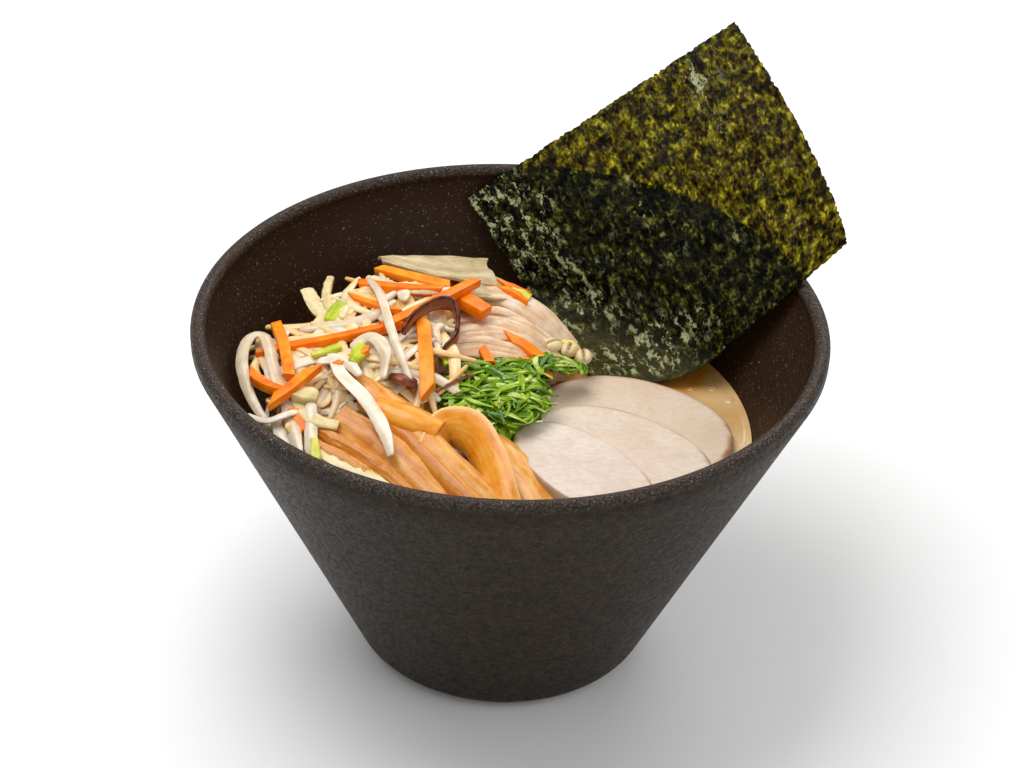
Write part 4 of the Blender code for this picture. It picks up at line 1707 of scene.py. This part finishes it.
def scallion_top(x: float, y: float) -> float:
    """Height of the pile of scallion."""
    return 101 - 6 * ((x + 5) / 22) ** 2 - 6 * ((y + 8) / 22) ** 2


@dataclass
class Mound:
    """A heap's own ground, on which things are strewn.

    Attributes:
        node: The CAD node that holds the heap.
        top: Height of the mound at a place.
        outline: The mound's outline on the broth.
        sink: How far the ground lies under the mound's top.
        floor: Height of its underside.
        cell: Width of its facets.
        smoothings: How often its outline is smoothed.
        edge_fall: How much lower its edge lies.
        lumps: Height of its lumps.
        margin: Gap between it and the bowl.
        thinnest: Its least thickness.
    """

    node: str
    top: Callable[[float, float], float]
    outline: Sequence[Pair]
    sink: float = 2.2
    floor: float = 78.6
    cell: float = 1.6
    smoothings: int = 3
    edge_fall: float = 1.6
    lumps: float = 0.7
    margin: float = 1.5
    thinnest: float = 0.6

    def holds(self, x: float, y: float) -> bool:
        """Whether a place lies inside the outline.

        Args:
            x: The place, to the right.
            y: The place, away from the eater.

        Returns:
            True inside.
        """
        inside = False
        for (ax, ay), (bx, by) in zip(self.outline, [*self.outline[1:], self.outline[0]]):
            if (ay > y) != (by > y) and x < (bx - ax) * (y - ay) / (by - ay) + ax:
                inside = not inside
        return inside

    def core(self, name: str, bowl: StonewareBowl, material: Material, slot: str) -> None:
        """The heap's core: a lumpy ground under everything that lies on it.

        Args:
            name: The piece's name.
            bowl: The bowl that holds the heap.
            material: Its material.
            slot: The record's material slot.
        """
        xs, ys = zip(*self.outline)
        width, depth = max(xs) - min(xs), max(ys) - min(ys)
        body = bmesh.new()
        columns, rows = ceil(width / self.cell), ceil(depth / self.cell)
        bmesh.ops.create_grid(body, x_segments=columns, y_segments=rows, size=0.5)
        middle = Vector(((max(xs) + min(xs)) / 2, (max(ys) + min(ys)) / 2, 0))
        for vert in body.verts:
            vert.co = Vector((vert.co.x * width, vert.co.y * depth, 0)) + middle
        outer = [f for f in body.faces if not self.holds(*f.calc_center_median().xy)]
        bmesh.ops.delete(body, geom=outer, context="FACES")
        for _ in range(self.smoothings):
            rim = [vert for vert in body.verts if vert.is_boundary]
            bmesh.ops.smooth_vert(body, verts=rim, factor=0.5, use_axis_x=True, use_axis_y=True)
        for vert in body.verts:
            x, y = vert.co.xy
            lump = self.lumps * noise.noise(Vector((x, y, 0)) * 0.22)
            z = self.top(x, y) - self.sink - self.edge_fall * vert.is_boundary + lump
            z = max(z, self.floor + self.thinnest)
            reach = min((bowl.inner(z) - self.margin) / max(hypot(x, y), 1), 1)
            vert.co = Vector((x * reach, y * reach, z)) * MM
        widest = (bowl.inner(self.floor) - self.margin) * MM
        for vert in lower_face(body):
            reach = min(widest / max(vert.co.xy.length, MM), 1)
            vert.co = Vector((vert.co.x * reach, vert.co.y * reach, self.floor * MM))
        bmesh.ops.recalc_face_normals(body, faces=body.faces)
        tone = layers(body, "tone")[0]
        for vert in body.verts:
            vert[tone] = 0.5
        dress(name, body, material, slot, self.node)


VEGETABLE_FOOT = (
    (-77, 2), (-64, 20), (-48, 36), (-32, 52), (-10, 62), (0, 52), (-12, 40),
    (-22, 22), (-23, -8), (-28, -30), (-45, -40), (-60, -46), (-71, -30),
)
NOODLE_FOOT = (
    (-24, -14), (-24, 20), (-12, 46), (6, 50), (19, 42), (19, 29), (8, 19),
    (3, 0), (-6, -24), (8, -48), (0, -66), (-22, -70), (-40, -58), (-30, -36),
)
SCALLION_FOOT = ((-21, -18), (-22, -3), (-12, 8), (4, 12), (13, 7), (11, -12), (0, -29), (-12, -27))


@dataclass
class VegetableHeap:
    """Carrot, bean sprout, cabbage and wood ear in a loose heap.

    Attributes:
        loose: Number of loose sprouts.
        columns: Where they may lie from left to right.
        rows: Where they may lie from front to back.
        margin: Gap between them and the bowl.
        bean_places: Place and turn of each bean.
        bean_size: Half length, half width and half height of a bean.
    """

    mound: Mound = field(default_factory=lambda: Mound("vegetables", vegetable_top, VEGETABLE_FOOT, 3.0))
    bowl: StonewareBowl = field(default_factory=StonewareBowl)
    loose: int = 90
    columns: Pair = (-84, -6)
    rows: Pair = (-44, 62)
    margin: float = 2.4
    bean_places: tuple[tuple[float, float, float, float], ...] = (
        (13.6, 26, 94, 30),
        (19.4, 25.8, 92.8, 75),
        (23.8, 24, 91.4, 95),
    )
    bean_size: Point = (3.7, 3.0, 2.2)
    seed: int = 21

    def carrots(self) -> list[Strand]:
        """Cut sticks of carrot, laid one by one.

        Returns:
            The strands.
        """
        stick = Section(3.6, 2.8, 12, 1)
        thin = Section(2.4, 2.2, 12, 1)
        laid = (
            (((-78, 2, 103), (-58, 2, 108), (-36, 8, 111)), stick),
            (((-40, 5, 112), (-26, 19, 112), (-12, 39, 109)), stick),
            (((-75, 15, 105), (-71, -1, 107.5), (-68, -17, 106.5)), stick),
            (((-81, -12, 104), (-76, -18, 104), (-69, -23, 104.5)), stick),
            (((-73, -26, 103), (-68, -22, 105), (-61, -13, 107)), stick),
            (((-44, 51, 105), (-32, 43, 107), (-20, 37, 108)), stick),
            (((-50, 39, 106.5), (-36, 34, 108.5), (-22, 33, 109)), stick),
            (((-52, 29, 107.5), (-37, 16, 111)), thin),
            (((-28, 12, 111), (-26, -7, 107.5), (-25, -19, 103.5)), Section(4.6, 3, 12, 1)),
            (((-20, 36, 107), (-8, 24, 106.5)), Section(6.5, 3.6, 12, 1)),
            (((-54, -12, 108), (-44, -6, 110.5)), thin),
            (((-4, 50, 101.8), (0, 49, 101), (4, 48, 99.6)), thin),
            (((-4, 45, 103.2), (0, 42.5, 103.2), (4, 39.5, 102.6)), thin),
            (((-26, 26, 110), (-19, 27, 109.5)), thin),
            (((-9, 11, 101.5), (-6, 4, 100.5)), Section(3, 2, 12, 1)),
            (((-1, 19, 100.5), (4.5, 17.5, 98.8), (10, 14.5, 95.8)), Section(5, 2.2, 12, 1)),
            (((5, 12.5, 97), (12, 10.5, 94)), Section(3.4, 2.2, 12, 1)),
            (((-66, -26, 100), (-62, -33, 97.5)), Section(4.4, 3, 12, 1)),
        )
        return [
            replace(stick, rolls=(0, (index % 3 - 1) * 14), slant=(index % 4 - 1.5) * 1.6)
            for index, stick in enumerate(laid_out(laid, (5, 0), 0.37))
        ]

    def sprouts(self) -> list[Strand]:
        """The bean sprouts that lie on top, one by one.

        Returns:
            The strands.
        """
        plain, slim = Section(4.4, 1.9, 10), Section(3.1, 1.6, 8)
        wide = Section(4.6, 1.3, 10)
        laid = (
            (
                (
                    (-70, -24, 101.5), (-74, -8, 105), (-78, 7, 105.5), (-83, 6, 105),
                    (-84, -6, 103), (-79, -21, 98.8), (-71, -31, 94.5),
                ),
                plain,
            ),
            (((-47, 42, 107), (-42, 23, 112.5), (-38, 3, 114), (-34, -8, 110), (-30, -17, 104.5)), slim),
            (
                (
                    (-56, -4, 108), (-52, -17, 108.3), (-45, -26, 106.6),
                    (-39.5, -34, 103.4), (-36.5, -41, 100.6), (-35, -46, 98.2),
                ),
                wide,
            ),
            (((-50, -3, 109), (-44, -1, 112), (-39, -8, 111.5), (-39, -17, 107)), plain),
            (((-36, 37, 107.5), (-34, 25, 110)), plain),
            (((-69, -23, 101), (-63, -43, 95.5)), plain),
            (((-61, -24, 102), (-60, -38, 97), (-59, -46, 93.5)), plain),
            (((-72, -27, 98), (-66, -44, 93.5)), plain),
            (((-46, 44, 106.5), (-33, 33, 109), (-16, 33, 109.5)), slim),
            (((-60, -8, 107), (-52, -10, 109), (-46, -17, 108)), plain),
            (((-21.5, 12.4, 109), (-24, 9, 108.5), (-22, 3.7, 107)), Section(3.6, 3, 8)),
        )
        shape = {"widths": (0.8, 1, 1, 0.5), "depths": (0.8, 1, 0.7), "ends": Ends.ROUND}
        return laid_out(laid, (0, 5), 0.41, rolls=(0, 35), uneven=0.2, **shape)

    def cabbage(self) -> list[Strand]:
        """Shreds of cabbage.

        Returns:
            The strands.
        """
        laid = (
            (((-67, -21, 103), (-59, -22, 102.5)), Section(6.5, 3.6, 14, 0.7)),
            (((-67, 40, 103), (-63, 28, 104.5), (-58, 16, 106)), Section(5.4, 1.6, 12, 0.4, 0.1, 4)),
            (((-60, 47, 103.5), (-60, 31, 105.5), (-57, 20, 106.5)), Section(3.4, 2, 12, 0.4)),
            (((-59, -38, 94.5), (-49, -44, 93.5), (-36, -53, 90.5)), Section(7, 1.6, 14, 0.4, 0.15, 4)),
            (((-66, -22, 101), (-60, -30, 100), (-52, -32, 99)), Section(5, 1.6, 12, 0.4, 0.1, 3)),
        )
        return laid_out(laid, (0, 6), 0.53, rolls=(0, 20), widths=(0.8, 1, 0.7), uneven=0.35)

    def limes(self) -> list[Strand]:
        """Yellow-green ribs of the cabbage.

        Returns:
            The strands.
        """
        laid = (
            (((-58, 15, 106.8), (-54, 25, 107.3)), Section(6, 2.6, 12, 0.6)),
            (((-62, -6, 107.5), (-53, -3, 109.5)), Section(3, 2, 12, 0.6)),
            (((-59, -38, 98), (-58, -46, 94.5)), Section(3.4, 2, 12, 0.6)),
            (((-24.3, 3.7, 106), (-21, 0, 105), (-19.5, -3.4, 104)), Section(2.4, 2, 10, 0.2)),
            (((17, 30, 93), (20, 28.4, 93), (22, 26, 92.5)), Section(3, 1.6, 10, 0.3)),
            (((-49, -12, 109), (-46, -4, 110.5)), Section(5, 2.4, 12, 0.4)),
            (((0, 45, 103), (3, 43, 102.8), (6, 42, 101.8)), Section(3.4, 1.4, 12, 0.4)),
        )
        return laid_out(laid, (8, 0), 0.47, rolls=(0, 15), widths=(0.7, 1, 0.8), uneven=0.3)

    def wood_ear(self) -> list[Strand]:
        """Strips and scraps of wood ear.

        Returns:
            The strands.
        """
        loop = (
            (-34, 2, 112), (-30, 10, 114), (-23, 20, 112.5),
            (-18, 20, 110.5), (-17, 8, 108.5), (-21, 1, 106),
        )
        rolled = Section(6, 1.5, 12, 0.2, arc=110)
        laid = (
            (loop, Section(1.9, 4.8, 12, 0.4)),
            (((-37, -12, 105.5), (-33, -15, 106.6), (-28.5, -15, 105)), rolled),
            (((-22.5, -15.9, 102), (-17, -11, 103), (-11.2, -5.6, 102.5)), Section(1.3, 1, 8)),
            (((19, 26, 90), (23, 25, 90.5)), Section(3.4, 2, 8)),
            (((9, 11, 92.5), (13, 8, 91.5)), Section(3.6, 1.6, 8)),
            (((-8.6, -24, 97.5), (-7.4, -20, 98.5)), Section(2.6, 1.4, 8)),
            (((-17, -36, 92.5), (-12, -41, 90.5), (-8, -45, 88.8)), Section(3.6, 1.8, 8)),
            (((-22, -33, 97), (-24, -36, 96)), Section(3.4, 2, 8)),
        )
        taper = (0.8, 1, 0.8)
        return laid_out(laid, (0, 6), 0.29, widths=taper, depths=taper, ends=Ends.ROUND, uneven=0.3)

    def strewn(self) -> list[Strand]:
        """Loose sprouts under the laid ones, over the whole mound.

        Returns:
            The strands.
        """
        draw = np.random.default_rng(self.seed)
        found: list[Strand] = []
        while len(found) < self.loose:
            x, y = draw.uniform(*self.columns), draw.uniform(*self.rows)
            if not self.clear(x, y):
                continue
            way, half, depth = draw.uniform(0, pi), draw.uniform(9, 19), draw.uniform(0, 1.4)
            curl = draw.uniform(-7, 7)
            path = []
            for share in (-1, -0.35, 0.35, 1):
                px, py = bowed(x, y, way, half, curl, share)
                pz = vegetable_top(px, py) - draw.uniform(0.3, 1.2) - depth
                reach = min((self.bowl.inner(pz) - self.margin) / max(hypot(px, py), 1), 1)
                path.append((px * reach, py * reach, pz))
            section = Section(draw.uniform(2.4, 4.8), draw.uniform(1.3, 2.2), 10)
            rolls, widths = (draw.uniform(-20, 20), draw.uniform(-20, 20)), (0.6, 1, 1, 0.5)
            cut = {"ends": Ends.ROUND, "uneven": 0.16, "tone": draw.uniform(0, 1)}
            found.append(Strand(path, section, 14, rolls, widths, **cut))
        return found

    def clear(self, x: float, y: float) -> bool:
        """Whether a loose sprout may lie at a place.

        Args:
            x: The place, to the right.
            y: The place, away from the eater.

        Returns:
            True on the mound where no leaf, bamboo or scallion lies.
        """
        behind = y > (26 if x > -20 else 42)
        before = (y < -24 and x < -54) or (y < -17 and x > -36)
        return self.mound.holds(x, y) and not behind and not before

    def build(self, effects: Effects) -> None:
        """Builds the heap, one piece for each kind.

        Args:
            effects: The shared groups.
        """
        self.mound.core("vegetable_core", self.bowl, GROUND_FINISH.material(effects), "vegetable")
        loose = self.strewn()
        kinds = (
            ("carrot_sticks", CARROT_FINISH, self.carrots()),
            ("bean_sprouts", SPROUT_FINISH, self.sprouts() + loose[::3]),
            ("blanched_shreds", BED_FINISH, loose[1::3] + loose[2::3]),
            ("cabbage_shreds", CABBAGE_FINISH, self.cabbage()),
            ("green_ribs", LIME_FINISH, self.limes()),
            ("wood_ear_strips", WOOD_EAR_FINISH, self.wood_ear()),
        )
        for name, finish, strands in kinds:
            lot = Lot(name)
            lot.lay(strands)
            lot.piece(finish.material(effects), "vegetable")
        leaves = Lot("cabbage_leaves")
        for blade in LEAVES:
            leaves.add(blade.build())
        leaves.piece(LEAF_FINISH.material(effects), "vegetable")
        self.beans(effects)

    def beans(self, effects: Effects) -> None:
        """Split heads of the bean sprouts, beside the seaweed's foot.

        Args:
            effects: The shared groups.
        """
        lot = Lot("bean_heads")
        for *place, turn in self.bean_places:
            bean = bmesh.new()
            tone, furrow = layers(bean, "tone", "furrow")
            bmesh.ops.create_icosphere(bean, subdivisions=3, radius=1)
            for vert in bean.verts:
                vert[tone] = 0.3 + 0.4 * (turn % 50) / 50
                split = exp(-((vert.co.y / 0.18) ** 2)) * smooth_step(vert.co.z, 0, 0.4)
                # The split's depth sets its painted shade.
                vert[furrow] = 1.8 * split
                vert.co.z *= 1 - 0.5 * split
            bmesh.ops.scale(bean, vec=Vector(self.bean_size) * MM, verts=bean.verts)
            spin = Matrix.Rotation(radians(turn), 3, "Z")
            bmesh.ops.rotate(bean, cent=(0, 0, 0), matrix=spin, verts=bean.verts)
            bmesh.ops.translate(bean, vec=Vector(place) * MM, verts=bean.verts)
            lot.add(bean)
        lot.piece(BEAN_FINISH.material(effects), "vegetable")


@dataclass(frozen=True)
class LeafBlade:
    """A thin wavy leaf between a rear and a front edge.

    Attributes:
        rear: Its rear edge.
        front: Its front edge.
        wave: Height of its waves.
    """

    rear: Path
    front: Path
    wave: float
    thickness: float = 1.0
    columns: int = 40
    rows: int = 22

    def build(self) -> Mesh:
        """Bends a flat grid between the two edges and gives it its thickness.

        Returns:
            The leaf's mesh.
        """
        body = bmesh.new()
        bmesh.ops.create_grid(body, x_segments=self.columns, y_segments=self.rows, size=0.5)
        carried = layers(body, "along", "across", "upper", "tone")
        for vert in body.verts:
            along, across = vert.co.x + 0.5, vert.co.y + 0.5
            rear = curve_points(self.rear, [along])[0]
            front = curve_points(self.front, [along])[0]
            place = front.lerp(rear, across)
            place.z += self.wave * sin(2.6 * (1 - across) + 5.5 * along) * sin(pi * across)
            place.z += 0.25 * cos(16 * across) + 0.5 * noise.noise(place * 0.18)
            place.x += 1.3 * sin(5 * across + 1) * along**3
            vert.co = place * MM
            values = (along * 30, across * 2 - 1, 0.7, 0.5)
            for layer, value in zip(carried, values):
                vert[layer] = value
        bmesh.ops.solidify(body, geom=body.faces[:], thickness=self.thickness * MM)
        bmesh.ops.recalc_face_normals(body, faces=body.faces)
        return body


LEAVES = (
    LeafBlade(
        ((-45, 61, 104), (-28, 66, 102.5), (-8, 70.5, 99.5)),
        ((-43, 57, 104.5), (-28, 46, 107), (-6, 45, 104)),
        1.2,
    ),
    LeafBlade(
        ((-15, 50, 104), (-6, 54, 102.5), (2, 52, 99.5)),
        ((-16, 33, 107), (-8, 34, 106), (0, 40, 102)),
        0.8,
    ),
)


@dataclass
class NoodleNest:
    """Wheat noodles that arch over the crest, in two layers, with a few crossing.

    Attributes:
        strands: Number of strands in a layer.
        lifts: Height of each layer over the paths.
        first: Path of the rear strand.
        last: Path of the front strand.
        crossing: Number of strands that cross the others.
        columns: Where those may lie from left to right.
        rows: Where those may lie from front to back.
    """

    mound: Mound = field(default_factory=lambda: Mound("noodles", noodle_top, NOODLE_FOOT, 1.8))
    bowl: StonewareBowl = field(default_factory=StonewareBowl)
    strands: int = 18
    lifts: Pair = (-1.4, 0.5)
    first: Path = ((-15, 43, 101), (-3, 46, 102), (10, 43, 97), (21, 37, 86.5))
    last: Path = ((-21, 10, 98.5), (-10, 10, 100), (2, 12, 97.5), (12, 15, 91.5))
    stray: float = 1.1
    crossing: int = 40
    columns: Pair = (-26, 6)
    rows: Pair = (-60, 34)
    seed: int = 3

    def laid(self) -> list[Strand]:
        """Strands spread from the first path to the last.

        Returns:
            The strands.
        """
        draw = np.random.default_rng(self.seed)
        found = []
        for layer, lift in enumerate(self.lifts):
            for index in range(self.strands):
                share = (index + 0.5 * layer) / self.strands
                path = []
                for a, b in zip(self.first, self.last):
                    place = (1 - share) * np.array(a) + share * np.array(b)
                    path.append(tuple(place + draw.uniform(-1, 1, 3) * self.stray + (0, 0, lift)))
                found.append(self.noodle(path, draw.uniform(0, 1)))
        return found

    def strewn(self) -> list[Strand]:
        """Strands that cross the others and fill the front.

        Returns:
            The strands.
        """
        draw = np.random.default_rng(self.seed + 1)
        found = []
        while len(found) < self.crossing:
            x, y = draw.uniform(*self.columns), draw.uniform(*self.rows)
            if not self.mound.holds(x + 7, y) or not self.mound.holds(x - 3, y):
                continue
            way, half, curl = draw.uniform(-0.7, 1.2), draw.uniform(9, 18), draw.uniform(-6, 6)
            path = []
            for share in (-1, -0.4, 0.4, 1):
                px, py = bowed(x, y, way, half, curl, share)
                sunk = draw.uniform(0.5, 1.8) + 4 * smooth_step(-py, 12, 20)
                path.append((px, py, noodle_top(px, py) - sunk))
            found.append(self.noodle(path, draw.uniform(0, 1)))
        return found

    @staticmethod
    def noodle(path: Path, tone: float) -> Strand:
        """One noodle."""
        return Strand(path, Section(3.3, 2.2, 8, 0.15), 14, (0, 40), uneven=0.15, tone=tone)

    def build(self, effects: Effects) -> None:
        """Builds the core and the noodles on it.

        Args:
            effects: The shared groups.
        """
        material = NOODLE_FINISH.material(effects)
        self.mound.core("noodle_core", self.bowl, material, "noodle")
        lot = Lot("noodle_strands")
        lot.lay(self.laid() + self.strewn())
        lot.piece(material, "noodle")


@dataclass
class ScallionPile:
    """Finely shredded green onion in a curly pile.

    Attributes:
        reach: The pile's reach sideways and from front to back.
        tail: Path of its tail.
        tail_width: Half width of the tail where it starts.
    """

    mound: Mound = field(default_factory=lambda: Mound("scallions", scallion_top, SCALLION_FOOT, 1.0))
    bowl: StonewareBowl = field(default_factory=StonewareBowl)
    shreds: int = 260
    centre: Pair = (-4.5, -9)
    reach: Pair = (15.5, 17)
    tail: Path = ((2, 3, 99), (9, 9, 96.5), (15, 13, 94), (22, 16.5, 91.5))
    tail_shreds: int = 40
    tail_width: float = 4.2
    seed: int = 12

    def shred(self, x: float, y: float, z: float, draw: np.random.Generator) -> Strand:
        """One curled ribbon.

        Args:
            x: Place of its middle, to the right.
            y: The same, away from the eater.
            z: Its height.
            draw: The pile's draw.

        Returns:
            The ribbon.
        """
        way, half = draw.normal(0.3, 0.8), draw.uniform(2.4, 7.2)
        curl, arch = draw.uniform(-3.2, 3.2), draw.uniform(-0.6, 2.2)
        path = []
        for share in (-1, -0.4, 0.4, 1):
            px, py = bowed(x, y, way, half, curl, share)
            path.append((px, py, z + arch * (1 - share**2) + draw.uniform(-0.3, 0.3)))
        rolls = (draw.uniform(-60, 60), draw.uniform(-60, 60))
        section = Section(draw.uniform(1.1, 2.6), 0.5, 8, 0.3, arc=draw.choice((0, 0, 120)))
        return Strand(path, section, 7, rolls, (0.6, 1, 0.7), uneven=0.1, tone=draw.uniform(0, 1))

    def strewn(self) -> list[Strand]:
        """Shreds over the pile and along its tail beside the seaweed.

        Returns:
            The strands.
        """
        draw = np.random.default_rng(self.seed)
        found = []
        for index in range(self.shreds):
            reach = sqrt((index + 0.5) / self.shreds) * draw.uniform(0.92, 1.05)
            angle = index * pi * (3 - sqrt(5))
            x = self.centre[0] + self.reach[0] * reach * cos(angle)
            y = self.centre[1] + self.reach[1] * reach * sin(angle)
            z = scallion_top(x, y) + draw.uniform(-1.4, 0.6)
            found.append(self.shred(x, y, z, draw))
        for share in np.linspace(0, 1, self.tail_shreds):
            x, y, z = curve_points(self.tail, [share])[0]
            spread = self.tail_width * (1 - 0.75 * share)
            x, y = x + draw.uniform(-spread, spread), y + draw.uniform(-spread, spread) * 0.6
            found.append(self.shred(x, y, z + draw.uniform(-0.8, 0.8), draw))
        return found

    def build(self, effects: Effects) -> None:
        """Builds the core and the shreds on it.

        Args:
            effects: The shared groups.
        """
        material = SCALLION_FINISH.material(effects)
        self.mound.core("scallion_core", self.bowl, material, "scallion")
        lot = Lot("scallion_shreds")
        lot.lay(self.strewn())
        lot.piece(material, "scallion")


@dataclass
class Studio:
    """Plain pale floor, soft lamps and a camera at the eater's height.

    Attributes:
        place: Where the camera stands.
        aim: The point that it looks at.
        roll: Its roll in radians.
        lens: Its focal length in millimetres.
        sky: Strength of the sky's light.
    """

    place: Point = (0, -816.94, 636.73)
    aim: Point = (1.01, 0, 95.56)
    roll: float = radians(2.05)
    lens: float = 108.63
    floor_size: float = 8000
    sky: float = 0.5

    def floor(self) -> None:
        """A wide pale floor."""
        body = bmesh.new()
        bmesh.ops.create_grid(body, x_segments=1, y_segments=1, size=self.floor_size / 2 * MM)
        mesh = bpy.data.meshes.new("floor")
        body.to_mesh(mesh)
        body.free()
        material, shader, skin = start_material("pale_floor")
        cloud = shader.grain(shader.object_place(), 3, 0)
        pale = shader.ramp(cloud, [(0.3, (0.93, 0.93, 0.93)), (0.7, (0.95, 0.95, 0.95))])
        shader.put(pale, skin.inputs["Base Color"])
        skin.inputs["Roughness"].default_value = 0.9
        mesh.materials.append(material)
        thing = bpy.data.objects.new("floor", mesh)
        bpy.context.scene.collection.objects.link(thing)

    def camera(self) -> None:
        """The camera, where the photograph was taken from."""
        lens = bpy.data.cameras.new("eater")
        lens.sensor_width = 36
        lens.lens = self.lens
        lens.clip_start = 0.01
        camera = bpy.data.objects.new("eater", lens)
        place, aim = Vector(self.place) * MM, Vector(self.aim) * MM
        ahead = (aim - place).normalized()
        level = ahead.cross(Vector((0, 0, 1))).normalized()
        above = level.cross(ahead)
        right = cos(self.roll) * level + sin(self.roll) * above
        up = cos(self.roll) * above - sin(self.roll) * level
        turn = Matrix((right, up, -ahead)).transposed().to_4x4()
        camera.matrix_world = Matrix.Translation(place) @ turn
        bpy.context.scene.collection.objects.link(camera)
        bpy.context.scene.camera = camera

    def lamps(self) -> None:
        """Soft lamps over and beside the bowl, and an even pale sky."""
        plan = (
            ("key", (-0.35, 0.15, 1.25), 0.8, 11.0),
            ("fill", (0.7, -0.6, 0.7), 0.7, 2.2),
            ("rear", (0.3, 0.9, 0.8), 0.7, 3.5),
        )
        for name, place, size, power in plan:
            light = bpy.data.lights.new(name, "AREA")
            light.size = size
            light.energy = power
            lamp = bpy.data.objects.new(name, light)
            ahead = (Vector((0, 0, 0.09)) - Vector(place)).normalized()
            turn = ahead.to_track_quat("-Z", "Y").to_matrix().to_4x4()
            lamp.matrix_world = Matrix.Translation(place) @ turn
            bpy.context.scene.collection.objects.link(lamp)
        world = bpy.data.worlds.new("pale_sky")
        world.use_nodes = True
        sky = world.node_tree.nodes["Background"]
        sky.inputs[0].default_value = (1, 1, 1, 1)
        sky.inputs[1].default_value = self.sky
        bpy.context.scene.world = world
        bpy.context.scene.view_settings.view_transform = "Standard"

    def build(self) -> None:
        """Sets up the studio."""
        self.floor()
        self.camera()
        self.lamps()


def main() -> None:
    """Builds every piece in order."""
    logging.basicConfig(level=logging.INFO, format="%(name)s %(message)s")
    effects = Effects()
    bowl = StonewareBowl()
    Studio().build()
    bowl.build(effects)
    Broth(bowl).build(effects)
    SeaweedSheet().build(effects)
    ChickenFan().build(effects)
    BambooShoots().build(effects)
    VegetableHeap(bowl=bowl).build(effects)
    NoodleNest(bowl=bowl).build(effects)
    ScallionPile(bowl=bowl).build(effects)
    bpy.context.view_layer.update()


if __name__ == "__main__":
    main()
